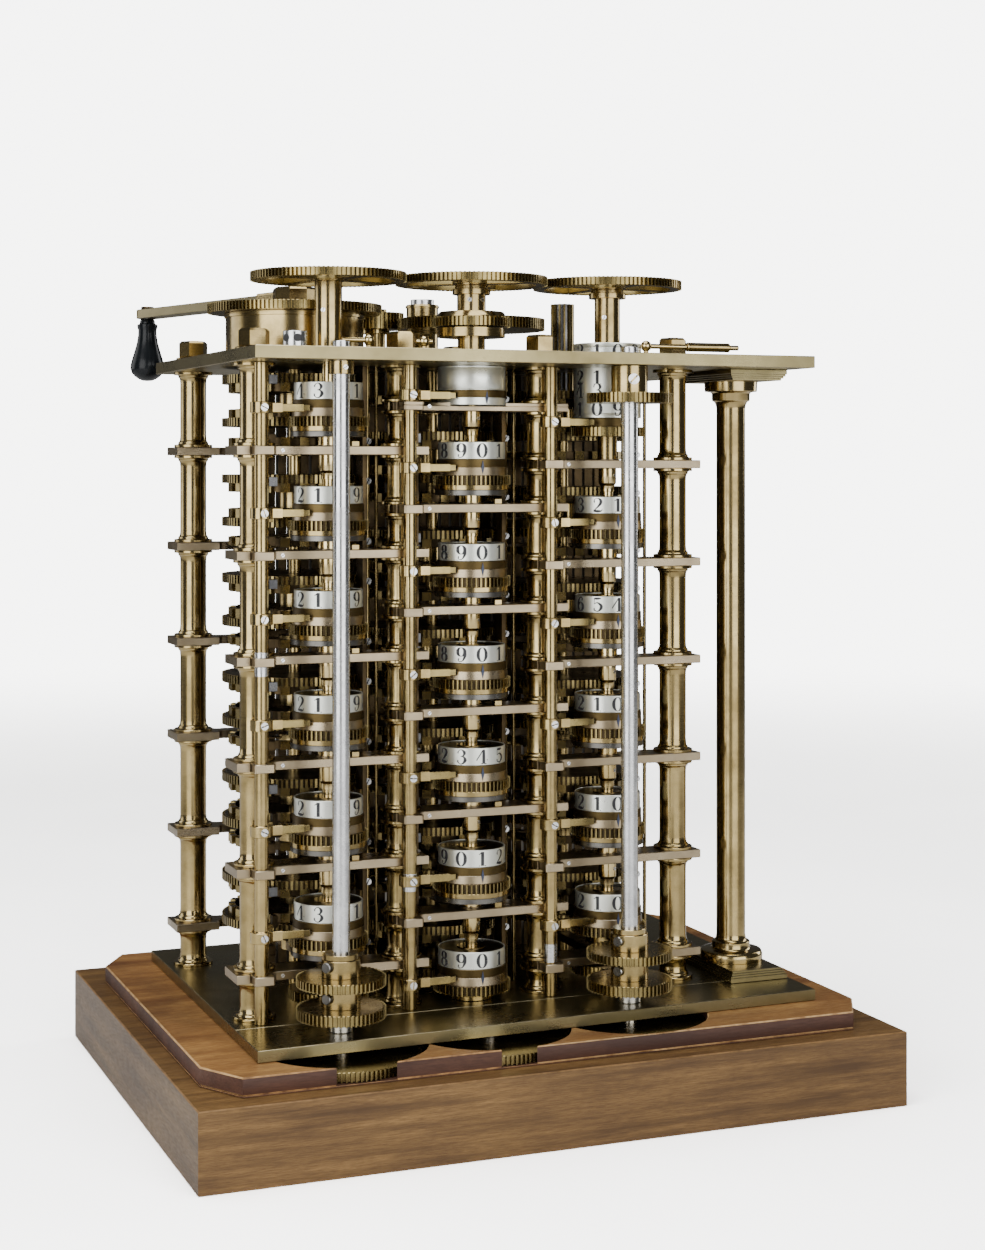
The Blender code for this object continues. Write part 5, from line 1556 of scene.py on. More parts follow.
@dataclass(frozen=True)
class FigureWheels:
    """Numbered wheels with a silvered band over a ring of teeth."""

    band: float = 0.0288
    half_band: float = 0.0073
    band_wall: float = 0.0011
    boss: float = 0.0125
    skirt: float = 0.0298
    skirt_low: float = -0.0141
    taper: float = 0.0304
    teeth_high: float = -0.0212
    teeth_low: float = -0.0292
    disc: float = 0.0322
    disc_low: float = -0.0334
    flange: float = 0.0315
    flange_low: float = -0.038
    hub: float = 0.0088
    slim_rim: float = 0.019
    slim: tuple[tuple[int, int], ...] = ((1, 5), (2, 4))
    first_digits: tuple[tuple[int, ...], ...] = ((2, 0, 0, 0, 0, 2), (0, 0, 0, 4, 1, 0), (1, 4, 0, 0, 0))
    digit_steps: tuple[int, ...] = (-1, 1, -1)
    facing: tuple[float, ...] = (-107.3, -111.1, -114.8)
    first_offset: float = 18.5

    def build(self) -> None:
        """Build every wheel."""
        for column, count in enumerate(LAYOUT.wheel_counts):
            for place in range(count):
                self._wheel(column, place)

    def _wheel(self, column: int, place: int) -> None:
        """Build one wheel with its digits, mark and teeth."""
        z = LAYOUT.wheel_z(column, place)
        seat_z = LAYOUT.wheel_seat(column, place) + 0.3 * MM
        axis = LAYOUT.axis(column)
        inner = self.band - self.band_wall
        draft = Draft()
        ring = [(inner, z - self.half_band), (self.band, z - self.half_band),
                (self.band, z + self.half_band), (inner, z + self.half_band)]
        draft.lathe(ring, Finish.SILVERED, axis, 56, edge=0.35 * MM, closed=True)
        body = [(self.taper, z + self.teeth_high), (self.skirt + 0.1 * MM, z + self.skirt_low)]
        draft.lathe(capped(body), Finish.BAR, axis, 48)
        # The dark lining inside the band is painted shade, and the dark disc at the foot of the teeth paints
        # the shade between them.
        lower: list[Tier] = [
            (inner + 0.1 * MM, z - self.half_band, z + self.half_band - 0.7 * MM, Finish.DARK),
            (self.boss, z, z + self.half_band),
            (self.skirt, z + self.skirt_low, z - self.half_band, Finish.MATT),
            (TEETH.root_radius(TEETH.figure), z + self.teeth_low, z + self.teeth_high, Finish.DARK),
        ]
        if (column, place) in self.slim:
            foot = max(seat_z, z + self.flange_low)
            lower.append((self.slim_rim, foot, z + self.teeth_low))
        else:
            lower.append((self.disc, z + self.disc_low, z + self.teeth_low))
            lower.append((self.flange, z + self.flange_low, z + self.disc_low, Finish.GREY_STEEL))
        if z + self.flange_low > seat_z:
            lower.append((self.hub, seat_z, z + self.flange_low + 0.1 * MM, Finish.BRIGHT))
        draft.stack(lower, axis, 48)
        start = self.facing[column] + self.first_offset
        for k in range(10):
            digit = (self.first_digits[column][place] + k * self.digit_steps[column]) % 10
            NUMERALS.stamp(draft, digit, axis, self.band, start + 36.0 * k, z)
        self._mark(draft, axis, start, z)
        name = f"{column + 1}_{place + 1}"
        draft.piece(f"numbered_wheel_{name}", f"wheel_{name}", "silvered_band", [f"figure_wheel_{name}"])
        ring_of_teeth = TEETH.ring(TEETH.figure, z + self.teeth_low, z + self.teeth_high, axis)
        CUTTER.piece(f"figure_teeth_{name}", f"wheel_{name}", [ring_of_teeth])

    def _mark(self, draft: Draft, axis: Point, angle: float, z: float) -> None:
        """Add the blued diamond under the reading place."""
        high, low = z - self.half_band - 0.6 * MM, z + self.teeth_high + 0.8 * MM
        middle = (high + low) / 2
        shape = [(0.0, low), (1.3 * MM, middle), (0.0, high), (-1.3 * MM, middle)]
        points = [wrapped(axis, self.taper + 0.15 * MM, angle, across, rise) for across, rise in shape]
        draft.add(points, [(0, 1, 2, 3)], Finish.BLUE_MARK)


@dataclass(frozen=True)
class Drums:
    """Counting drum over column 2 and numeral drum over column 3."""

    counter: float = 0.029
    counter_height: float = 0.0205
    counter_dip: float = 0.0025
    skirt: float = 0.03
    skirt_height: float = 0.0062
    mark_angle: float = -85.0
    drum: float = 0.0296
    drum_height: float = 0.065
    rows: tuple[tuple[float, int], ...] = ((-0.0072, 0), (-0.03, 0), (-0.0415, 2), (-0.0574, 9))
    wall: float = 0.003
    facing: float = -96.3
    hub: float = 0.0088
    neck: float = 0.025
    gear_drops: tuple[float, float] = (0.016, 0.008)

    def build(self) -> None:
        """Build both drums."""
        axis = LAYOUT.axis(1)
        low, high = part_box("counter_drum")
        split = high.z - self.counter_height
        draft = Draft()
        draft.stack([
            (self.counter + 0.2 * MM, low.z - self.counter_dip, split - self.skirt_height,
             Finish.SILVERED),
            (self.skirt, split - self.skirt_height, split, Finish.MATT),
            (self.counter - 0.3 * MM, split, high.z - 0.5 * MM),
        ], axis, 64)
        self._sleeve(draft, axis, self.counter, split, high.z)
        mark = [(0.0, -6.0 * MM), (1.3 * MM, 0.0), (0.0, 6.0 * MM), (-1.3 * MM, 0.0)]
        draft.add([wrapped(axis, self.skirt + 0.1 * MM, self.mark_angle, across,
                           split - self.skirt_height + rise) for across, rise in mark],
                  [(0, 1, 2, 3)], Finish.BLUE_MARK)
        draft.piece("counting_drum", "counter", "silvered_band", ["counter_drum"])
        axis = LAYOUT.axis(2)
        low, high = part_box("numeral_drum")
        foot = high.z - self.drum_height
        gear_low, gear_high = foot - self.gear_drops[0], foot - self.gear_drops[1]
        draft = Draft()
        draft.stack([
            (self.hub, low.z, gear_low),
            (TEETH.root_radius(TEETH.figure), gear_low, gear_high, Finish.GEAR),
            (self.neck, gear_high, foot, Finish.MATT),
            (self.drum - 0.3 * MM, foot, high.z - 1.5 * MM),
        ], axis, 56)
        self._sleeve(draft, axis, self.drum, foot, high.z)
        for drop, first in self.rows:
            for k in range(10):
                NUMERALS.stamp(draft, (first - k) % 10, axis, self.drum, self.facing + 36.0 * k,
                               high.z + drop)
        draft.piece("numbered_drum", "numerals", "silvered_band", ["numeral_drum"])
        ring = TEETH.ring(TEETH.figure, gear_low, gear_high, axis)
        CUTTER.piece("numbered_drum_teeth", "numerals", [ring])

    def _sleeve(self, draft: Draft, axis: Point, radius: float, low: float, high: float) -> None:
        """Add a silvered sleeve with two fine grooves."""
        inner = radius - self.wall
        profile = [(inner, low), (radius, low)]
        for share in (0.06, 0.94):
            z = low + (high - low) * share
            profile += [(radius, z - 0.25 * MM), (radius - 0.3 * MM, z), (radius, z + 0.25 * MM)]
        profile += [(radius, high), (inner, high)]
        draft.lathe(profile, Finish.SILVERED, axis, 56, edge=0.2 * MM, closed=True)


@dataclass(frozen=True)
class ColumnDrives:
    """Spindle of each column with its hub above the plate and its spoked top gear."""

    shaft: float = 0.0052
    tubes: tuple[float, ...] = (0.0115, 0.0124, 0.0112)
    rim_width: float = 0.0085
    hub: float = 0.0165
    spoke_width: float = 0.011
    spokes: int = 4
    web_step: float = 0.0009
    spoke_turns: tuple[float, ...] = (20.0, 52.0, 8.0)
    foot_hub: float = 0.009
    foot_gear: tuple[float, float] = (0.0115, 0.02)
    pinion_rise: float = 0.0232
    pinion_height: float = 0.008
    foot_tube: float = 0.0118
    collar: tuple[float, ...] = (0.029, 0.0142, 0.0222)
    bevel: tuple[Point, ...] = ((0.0275, 0.0128), (0.024, 0.013))
    flanges: tuple[tuple[float, ...], ...] = ((0.0163, 0.0078, 0.003), (0.0142, 0.003, 0.1 * MM))
    middle_screws: tuple[Point, ...] = ((-118.0, 0.0125), (-62.0, 0.0125))
    side_screws: tuple[Point, ...] = ((-128.0, 0.0245),)

    def build(self) -> None:
        """Build the three drives."""
        half_pitch = math.pi / TEETH.top
        for column in range(3):
            body = f"column_drive_{column + 1}"
            axis = LAYOUT.axis(column)
            low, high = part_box(f"top_gear_{column + 1}")
            draft = Draft()
            rings = [TEETH.ring(TEETH.top, low.z, high.z, axis, half_pitch if column == 1 else 0.0)]
            draft.stack([(self.shaft, LAYOUT.plate_low + 0.3 * MM, high.z + 0.5 * MM,
                          Finish.BRIGHT)], axis, 20)
            self._gear(draft, column, axis, low.z, high.z)
            if column != 1:
                rings.append(self._foot_gear(draft, column, axis))
            rings += self._hub(draft, column, axis, low.z, body)
            nodes = [f"spindle_{column + 1}", f"top_gear_{column + 1}"]
            draft.piece(f"spindle_and_gear_{column + 1}", body, "aged_brass", nodes)
            CUTTER.piece(f"column_teeth_{column + 1}", body, rings)

    def _gear(self, draft: Draft, column: int, axis: Point, low: float, high: float) -> None:
        """Add the rim, spokes and boss of a top gear."""
        root = TEETH.root_radius(TEETH.top)
        inner = TEETH.pitch_radius(TEETH.top) - self.rim_width
        rim = [(inner, low), (root, low), (root, high), (inner, high)]
        draft.lathe(rim, Finish.GEAR, axis, 104, edge=0.4 * MM, closed=True)
        outer = inner + 0.4 * MM
        outline = []
        for spoke in range(self.spokes):
            middle = self.spoke_turns[column] + 360.0 * spoke / self.spokes
            half = math.degrees(self.spoke_width / 2 / outer)
            outline += arc(axis, outer, middle - half, middle + half, 4)
            root_half = math.degrees(self.spoke_width / 2 / self.hub)
            outline += arc(axis, self.hub, middle + root_half, middle + 360.0 / self.spokes - root_half, 8)
        draft.prism(outline, low + self.web_step, high - self.web_step, Finish.GEAR, edge=0.5 * MM)
        draft.stack([(self.hub - 2.0 * MM, low - 0.1 * MM, high + 0.3 * MM)], axis, 32)

    def _foot_gear(self, draft: Draft, column: int, axis: Point) -> ToothRing:
        """Add the gear at the foot of a spindle and return its teeth."""
        foot = LAYOUT.plate_low
        draft.stack([
            (self.foot_hub, foot + 0.3 * MM, foot + self.foot_gear[0]),
            (TEETH.root_radius(TEETH.figure), foot + self.foot_gear[0], foot + self.foot_gear[1],
             Finish.GEAR),
        ], axis)
        turn = TEETH.mesh_turn(0.0, TEETH.drive, LAYOUT.drive_axes[column], TEETH.figure, axis)
        return TEETH.ring(TEETH.figure, foot + self.foot_gear[0], foot + self.foot_gear[1], axis, turn)

    def _hub(self, draft: Draft, column: int, axis: Point, gear_low: float, body: str) -> list[ToothRing]:
        """Add the tube between the plate and the gear, and return its teeth."""
        deck = LAYOUT.deck + 0.3 * MM
        tube = self.tubes[column]
        tiers: list[Tier] = []
        rings = []
        foot = deck
        if column == 1:
            pinion, root = LAYOUT.deck + self.pinion_rise, TEETH.root_radius(TEETH.figure)
            pinion_top, foot = pinion + self.pinion_height, pinion + self.bevel[-1][1]
            collar, collar_low, collar_high = self.collar
            tiers += [
                (self.foot_tube, deck, pinion),
                (collar, LAYOUT.deck + collar_low, LAYOUT.deck + collar_high),
                (root, pinion, pinion_top, Finish.GEAR),
            ]
            bevel = [(root, pinion_top), *((radius, pinion + rise) for radius, rise in self.bevel)]
            draft.lathe(capped(bevel), Finish.TURNED, axis, 48)
            rings.append(TEETH.ring(TEETH.figure, pinion, pinion_top, axis, Train.pinion_turn()))
        if column == 2:
            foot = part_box("numeral_drum")[1].z + 0.3 * MM
        tiers.append((tube, foot, gear_low - 0.1 * MM))
        if column:
            for radius, far, near in self.flanges:
                tiers.append((radius, gear_low - far, gear_low - near))
        draft.stack(tiers, axis)
        for angle, drop in self.middle_screws if column == 1 else self.side_screws:
            SCREWS.around(body, axis, gear_low - drop, tube - 0.1 * MM, angle, head=1.9 * MM)
        return rings


@dataclass(frozen=True)
class FrontDrives:
    """Two tall steel rods with their gears, and the three gears under the plate."""

    rod: float = 0.0072
    foot_collar: float = 0.0096
    hub: float = 0.0157
    stud: float = 0.0044
    stud_proud: float = 0.0042
    stud_angle: float = -146.0
    stud_rises: tuple[float, float] = (0.029, 0.054)
    low_gear: tuple[float, float] = (0.0115, 0.02)
    high_gear: tuple[float, float] = (0.0373, 0.0445)
    hub_top: float = 0.063
    tip: float = 0.0053
    head_hub: float = 0.023
    head_gear: float = 0.0085
    shoulder_drop: float = 0.0045
    top_collar: float = 0.0105
    collar_height: float = 0.0108
    collar_screw: float = 2.0 * MM
    collar_screw_angle: float = -88.0
    hub_screw: float = 4.6 * MM
    hub_screw_angle: float = -101.0
    hub_screw_drop: float = 0.0115

    def build(self) -> None:
        """Build the rods and gears."""
        half_pitch = math.pi / TEETH.top
        for column, axis in enumerate(LAYOUT.drive_axes):
            number = column + 1
            low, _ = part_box(f"under_gear_{number}")
            body = f"front_drive_{number}"
            draft = Draft()
            under = low.z + 7.3 * MM
            draft.stack([(TEETH.root_radius(TEETH.top), low.z, under, Finish.GEAR)], axis, 64)
            rings = [TEETH.ring(TEETH.top, low.z, under, axis, half_pitch if column == 1 else 0.0)]
            if column == 1:
                stub = LAYOUT.plate_low - 0.1 * MM
                draft.stack([(self.rod, under, stub - 2.0 * MM, Finish.STEEL),
                             (self.rod + 0.5 * MM, stub - 2.0 * MM, stub, Finish.PLATE)], axis, 24)
                nodes = ["under_gear_2"]
            else:
                rings += self._rod(draft, column, axis, low.z, body)
                nodes = [f"drive_rod_{number}", f"under_gear_{number}"]
            draft.piece(f"front_drive_parts_{number}", body, "grey_steel", nodes)
            CUTTER.piece(f"front_drive_teeth_{number}", body, rings)

    def _rod(self, draft: Draft, column: int, axis: Point, low: float, body: str) -> list[ToothRing]:
        """Add a tall rod with its hubs and gear bodies, and return its teeth."""
        foot, top = LAYOUT.plate_low, LAYOUT.plate_high - 0.3 * MM
        root = TEETH.root_radius(TEETH.drive)
        shoulder = foot + self.hub_top - self.shoulder_drop
        spans = [(foot + self.low_gear[0], foot + self.low_gear[1]),
                 (foot + self.high_gear[0], foot + self.high_gear[1])]
        tiers: list[Tier] = [
            (self.rod, low, LAYOUT.deck + self.tip, Finish.STEEL),
            (self.foot_collar, foot + 0.3 * MM, spans[0][0], Finish.STEEL),
            (self.hub, spans[0][1], spans[1][0]),
            (self.hub, spans[1][1], shoulder),
            (self.hub - 1.6 * MM, shoulder, foot + self.hub_top),
        ]
        if column == 0:
            tiers.append((self.top_collar, top - self.collar_height, top))
            SCREWS.around(body, axis, top - self.collar_height / 2, self.top_collar - 0.1 * MM,
                          self.collar_screw_angle, head=self.collar_screw)
        else:
            head = top - self.head_hub
            spans.append((head - self.head_gear, head))
            tiers.append((self.hub, head, top))
            SCREWS.around(body, axis, top - self.hub_screw_drop, self.hub - 0.4 * MM,
                          self.hub_screw_angle, head=self.hub_screw)
        tiers += [(root, span[0], span[1], Finish.GEAR) for span in spans]
        draft.stack(tiers, axis, 48)
        outward = Matrix.Rotation(math.radians(self.stud_angle), 3, "Z") @ Vector((1.0, 0.0, 0.0))
        for rise in self.stud_rises:
            middle = Vector((*axis, foot + rise))
            draft.rod(middle + outward * (self.hub - 1.0 * MM),
                      middle + outward * (self.hub + self.stud_proud), self.stud, Finish.GREY_STEEL)
        return [TEETH.ring(TEETH.drive, span[0], span[1], axis) for span in spans]


@dataclass(frozen=True)
class RearAxes:
    """Vertical axes behind the columns, with toothed discs and notched crowns at each level."""

    shaft: float = 0.0055
    disc: float = 0.0635
    disc_teeth: int = 96
    tooth_depth: float = 0.0022
    crown: float = 0.0579
    crown_wall: float = 0.005
    merlons: int = 22
    hub: float = 0.0135
    discs: tuple[tuple[float, float], ...] = ((-0.0279, -0.0205), (-0.0651, -0.0577))
    crowns: tuple[tuple[float, float, bool], ...] = (
        (-0.0356, -0.0279, True), (-0.0577, -0.05, True), (0.0042, 0.0115, False),
    )
    levels: int = 6
    pinion: float = 0.0108
    pinion_proud: float = 0.0532
    pinion_drop: float = 0.05
    flute_depth: float = 1.6 * MM
    inner_wall: float = 0.0012
    arm_half: float = 4.0
    arm_turn: float = 50.0
    flutes: int = 14
    bodies: tuple[str, ...] = ("crank", "rear_drive_2", "rear_drive_3")
    disc_shares: tuple[float, float] = (0.62, 0.85)
    merlon_shares: tuple[float, float] = (0.55, 0.98)
    flute_shares: tuple[float, float] = (0.55, 0.7)

    def build(self) -> None:
        """Build the three axes."""
        for column, body in enumerate(self.bodies):
            axis = (LAYOUT.column_x[column], LAYOUT.rear_y)
            foot, top = LAYOUT.plate_low + 0.3 * MM, LAYOUT.plate_high - 0.3 * MM
            draft, rings = Draft(), []
            draft.stack([(self.shaft, foot, top)], axis, 20)
            for step in range(self.levels):
                z = LAYOUT.platform_z(column, LAYOUT.rear_first_levels[column] + step)
                for low, high in self.discs:
                    if foot < z + low and z + high < top:
                        rings.append(self._disc(draft, axis, z + low, z + high))
                for low, high, on_disc in self.crowns:
                    if foot < z + low and z + high < top:
                        rings.append(self._crown(draft, axis, z + low, z + high, on_disc))
                if foot < z + self.crowns[1][0]:
                    span = z + self.crowns[1][1], z + self.crowns[0][0]
                    draft.stack([(self.hub, *span, Finish.TURNED)], axis, 24)
            if column == 2:
                low, high = top - self.pinion_drop, LAYOUT.deck + self.pinion_proud
                rings.append(self._pinion(draft, axis, low, high))
            draft.piece(f"rear_wheels_{column + 1}", body, "aged_brass", [f"rear_axis_{column + 1}"])
            CUTTER.piece(f"rear_teeth_{column + 1}", body, rings)

    def _disc(self, draft: Draft, axis: Point, low: float, high: float) -> ToothRing:
        """Add a toothed disc and return its teeth."""
        root = self.disc - self.tooth_depth
        # The dark core paints the shade between the disc's teeth.
        draft.stack([(root, low, high, Finish.DARK)], axis, 64)
        return ToothRing(self.disc_teeth, root, self.tooth_depth, low, high, axis, *self.disc_shares)

    def _crown(self, draft: Draft, axis: Point, low: float, high: float, on_disc: bool) -> ToothRing:
        """Add a hollow crown with a dark floor, and return its merlons; its dark inner ring is painted shade
        between the merlons.
        """
        inner = self.crown - self.crown_wall
        back = inner - self.inner_wall
        ring = [(back, low), (inner, low), (inner, high), (back, high)]
        draft.lathe(ring, Finish.DARK, axis, 48, closed=True)
        if not on_disc:
            half, middle = self.arm_half, (low + high) / 2
            outline = []
            for arm in range(3):
                turn = 120.0 * arm + self.arm_turn
                outline += arc(axis, inner - self.inner_wall / 2, turn - half, turn + half, 3)
                outline += arc(axis, self.hub, turn + 4 * half, turn + 120.0 - 4 * half, 8)
            draft.prism(outline, middle - 1.2 * MM, middle + 1.2 * MM, Finish.DARK)
            draft.stack([(self.hub + 1.0 * MM, low, high)], axis, 24)
        return ToothRing(self.merlons, inner, self.crown_wall, low, high, axis, *self.merlon_shares)

    def _pinion(self, draft: Draft, axis: Point, low: float, high: float) -> ToothRing:
        """Add the long fluted pinion and return its flutes."""
        root = self.pinion - self.flute_depth
        draft.stack([(root, low, high - 0.4 * MM, Finish.DARK_STEEL)], axis, 24)
        draft.stack([(self.shaft, high - 1.0 * MM, high, Finish.STEEL)], axis, 16)
        return ToothRing(self.flutes, root, self.flute_depth, low, high - 0.4 * MM, axis, *self.flute_shares)


@dataclass(frozen=True)
class CarryWork:
    """Dark upright slats that paint the shade of the machine's interior, dark slabs that paint the shade
    beside the wheels, and the levers and thin rods that carry tens from wheel to wheel.
    """

    shade_curtain_left: float = -0.181
    shade_curtain_right: float = 0.176
    shade_curtain_count: int = 35
    shade_curtain_width: float = 0.0078
    shade_curtain_depth: float = 0.009
    shade_curtain_y: float = 0.0835
    shade_slab_offset: float = 0.0405
    shade_slab_y: tuple[float, float] = (-0.062, -0.044)
    shade_slab_thickness: float = 0.0035
    rods: tuple[tuple[float, float, float, Finish], ...] = (
        (0.0485, -0.045, 0.0021, Finish.TURNED), (0.0555, -0.048, 0.0016, Finish.TURNED),
        (-0.05, -0.04, 0.0018, Finish.DARK),
    )
    screw_rises: tuple[float, float] = (0.0084, -0.026)
    levers: tuple[tuple[float, float, float, float, float, Finish], ...] = (
        (-0.052, -0.037, -0.058, 0.006, 0.014, Finish.DARK),
        (-0.05, -0.044, -0.062, 0.015, 0.0185, Finish.MATT),
        (-0.044, -0.04, -0.06, 0.026, 0.033, Finish.TURNED),
        (-0.039, -0.0345, -0.056, 0.029, 0.039, Finish.DARK),
        (0.036, 0.044, -0.058, 0.015, 0.019, Finish.DARK),
        (0.037, 0.041, -0.06, 0.048, 0.056, Finish.MATT),
        (-0.043, -0.036, -0.06, 0.056, 0.064, Finish.DARK_STEEL),
        (-0.05, -0.0455, -0.062, 0.052, 0.06, Finish.TURNED),
    )
    lever_depth: float = 0.008
    screw_aim: tuple[float, float, float] = (-0.35, -1.0, 0.0)
    screw: tuple[float, float, float] = (2.9 * MM, 1.4 * MM, 0.8)

    def build(self) -> None:
        """Build the dark slats behind the rear wheels, painted shade of the machine's interior, and the
        small parts between the rows.
        """
        low, high = LAYOUT.plate_low, LAYOUT.plate_high
        # Full-height dark slats behind the rear wheels: painted shade of the machine's interior.
        shade_curtain = Draft()
        for step in range(self.shade_curtain_count):
            share = step / (self.shade_curtain_count - 1)
            x = self.shade_curtain_left + (self.shade_curtain_right - self.shade_curtain_left) * share
            half, deep = self.shade_curtain_width / 2, self.shade_curtain_depth / 2
            shade_curtain.block((x - half, self.shade_curtain_y - deep, low), (x + half, self.shade_curtain_y + deep, high),
                         Finish.DARK)
        shade_curtain.piece("painted_shade_curtain", "base", "aged_brass")
        parts = Draft()
        for column in range(3):
            self._column(parts, column)
        parts.piece("carry_levers", "base", "aged_brass")

    def _column(self, parts: Draft, column: int) -> None:
        """Add the dark slabs of painted shade beside the wheels, and the rods and levers of one column."""
        low, high = LAYOUT.plate_low, LAYOUT.plate_high
        middle = LAYOUT.column_x[column]
        # Full-height dark slabs beside the wheels: painted shade between the columns.
        for side in (-1, 1):
            x = middle + side * self.shade_slab_offset
            if (column, side) != (0, -1):
                parts.block((x - self.shade_slab_thickness / 2, self.shade_slab_y[0], low),
                            (x + self.shade_slab_thickness / 2, self.shade_slab_y[1], high), Finish.DARK)
        for offset, y, radius, finish in self.rods:
            parts.rod((middle + offset, y, low), (middle + offset, y, high), radius, finish, 12)
        for level in range(LAYOUT.platform_count):
            z = LAYOUT.platform_z(column, level)
            offset, y, radius, _ = self.rods[0]
            for rise in self.screw_rises:
                SCREWS.add("base", (middle + offset, y - radius, z + rise), self.screw_aim, *self.screw)
            for left, right, y, foot, head, finish in self.levers:
                if z + head < high:
                    parts.block((middle + left, y, z + foot),
                                (middle + right, y + self.lever_depth, z + head), finish)


@dataclass(frozen=True)
class Train:
    """Crank wheel with its arm and grip, the idler and the transfer wheel."""

    drum: float = 0.0603
    drum_height: float = 0.0374
    wheel_thickness: float = 0.0077
    boss: float = 0.0198
    arm_length: float = 0.2686
    arm_angle: float = 105.8
    arm_width: float = 0.0236
    tip_width: float = 0.021
    arm_step: float = 0.045
    boss_height: float = 0.0153
    lip: float = 1.2 * MM
    lip_height: float = 0.0042
    pin: float = 0.008
    pin_height: float = 0.0156
    idler_face: tuple[float, float] = (0.0282, 0.0432)
    transfer_face: tuple[float, float] = (0.0262, 0.0362)
    tube: float = 0.009
    shoulder: float = 0.013
    nut: float = 0.01
    grip: float = 0.0164
    grip_shares: tuple[Point, ...] = (
        (0.0, 1.0), (0.26, 0.995), (0.5, 0.97), (0.74, 0.925), (0.92, 0.87), (1.0, 0.8), (0.99, 0.74),
        (0.9, 0.64), (0.74, 0.5), (0.62, 0.38), (0.55, 0.26), (0.54, 0.18), (0.6, 0.13), (0.6, 0.09),
        (0.46, 0.075), (0.44, 0.03), (0.38, 0.0),
    )
    neck_length: float = 0.004
    blade_rise: float = 2.0 * MM
    blade_thickness: float = 8.8 * MM
    shoulder_height: float = 0.004
    nut_height: float = 0.0035
    grip_pin: float = 0.0035
    grip_nut: float = 0.0062
    grip_nut_height: float = 2.4 * MM

    @staticmethod
    def axes() -> tuple[Point, Point, Point]:
        """Axes of the crank wheel, the idler and the transfer wheel."""
        return tuple((c.x, c.y) for c in map(centre_of, ("crank_wheel", "idler", "transfer_wheel")))

    @staticmethod
    def turns() -> tuple[float, float]:
        """First teeth of the idler and of the transfer wheel, from the crank wheel's."""
        crank, idler, transfer = Train.axes()
        second = TEETH.mesh_turn(0.0, TEETH.crank, crank, TEETH.idler, idler)
        return second, TEETH.mesh_turn(second, TEETH.idler, idler, TEETH.transfer, transfer)

    @staticmethod
    def pinion_turn() -> float:
        """First tooth of the pinion on column 2."""
        place = LAYOUT.axis(1)
        return TEETH.mesh_turn(Train.turns()[1], TEETH.transfer, Train.axes()[2], TEETH.figure, place)

    def build(self) -> None:
        """Build the train."""
        crank, idler, transfer = self.axes()
        deck = LAYOUT.deck + 0.3 * MM
        wheel = LAYOUT.deck + self.drum_height
        wheel_top = wheel + self.wheel_thickness
        draft = Draft()
        draft.stack([
            (self.drum, deck, wheel),
            (self.drum + self.lip, wheel - self.lip_height, wheel - 0.1 * MM),
            (TEETH.root_radius(TEETH.crank), wheel, wheel_top, Finish.GEAR),
            (self.pin, wheel_top, wheel_top + self.pin_height, Finish.DARK_STEEL),
        ], crank, 96)
        draft.piece("crank_drum", "crank", "aged_brass", ["crank_wheel"])
        rings = [TEETH.ring(TEETH.crank, wheel, wheel_top, crank)]
        CUTTER.piece("crank_teeth", "crank", rings)
        self._arm(crank, wheel_top + 0.3 * MM)
        self._grip(wheel_top + 0.3 * MM)
        second, third = self.turns()
        for name, body, teeth, axis, turn, face in (
            ("idler", "idler_gear", TEETH.idler, idler, second, self.idler_face),
            ("transfer_wheel", "transfer_gear", TEETH.transfer, transfer, third, self.transfer_face),
        ):
            low, high = LAYOUT.deck + face[0], LAYOUT.deck + face[1]
            draft = Draft()
            draft.stack([
                (self.tube, deck, low), (self.shoulder, low - self.shoulder_height, low),
                (TEETH.root_radius(teeth), low, high, Finish.GEAR),
                (self.nut, high, high + self.nut_height),
            ], axis, 64)
            draft.piece(f"{body}_body", body, "aged_brass", [name])
            CUTTER.piece(f"{body}_teeth", body, [TEETH.ring(teeth, low, high, axis, turn)])

    def _arm(self, axis: Point, foot: float) -> None:
        """Build the octagonal boss and the stepped arm."""
        turn = Matrix.Translation((axis[0], axis[1], 0)) @ Matrix.Rotation(
            math.radians(self.arm_angle), 4, "Z")
        root, tip, end = self.arm_width / 2, self.tip_width / 2, self.arm_length
        draft = Draft()
        top = foot + self.boss_height
        boss = [(0.0, foot), (self.boss, foot), (self.boss, top - 2.1 * MM), (self.boss - 2.0 * MM, top),
                (0.0, top)]
        draft.lathe(boss, Finish.TURNED, (0.0, 0.0), 8, edge=0.0, matrix=turn)
        low, high = foot + self.blade_rise, foot + self.blade_rise + self.blade_thickness
        step, neck = self.arm_step, self.arm_step + self.neck_length
        blade = [(0.0, -root), (step, -root), (neck, -tip), (end, -tip),
                 *arc((end, 0.0), tip, -90, 90, 14)[1:-1], (end, tip), (neck, tip), (step, root),
                 (0.0, root)]
        draft.prism(blade, low, high, Finish.PLATE, edge=0.6 * MM, matrix=turn)
        draft.prism(block_outline(0.0, -root, step, root), low, high + 1.4 * MM, Finish.TURNED,
                    edge=0.6 * MM, matrix=turn)
        draft.piece("crank_lever", "crank", "aged_brass", ["crank_arm"], smooth_angle=25)

    def _grip(self, foot: float) -> None:
        """Build the turned grip on its pin."""
        low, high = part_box("crank_grip")
        centre = centre_of("crank_grip")
        top = foot + 1.7 * MM
        length = top - low.z
        profile = [(self.grip * share, top - length * drop) for share, drop in self.grip_shares]
        profile.append((0.0, top))
        draft = Draft()
        draft.lathe(profile, Finish.EBONY, (centre.x, centre.y), 36, edge=0.0)
        draft.stack([
            (self.grip_pin, top - 1.0 * MM, high.z - 1.0 * MM, Finish.STEEL),
            (self.grip_nut, high.z - self.grip_nut_height, high.z, Finish.DARK),
        ], (centre.x, centre.y), 20)
        draft.piece("turned_grip", "grip", "black_grip", ["crank_grip"])


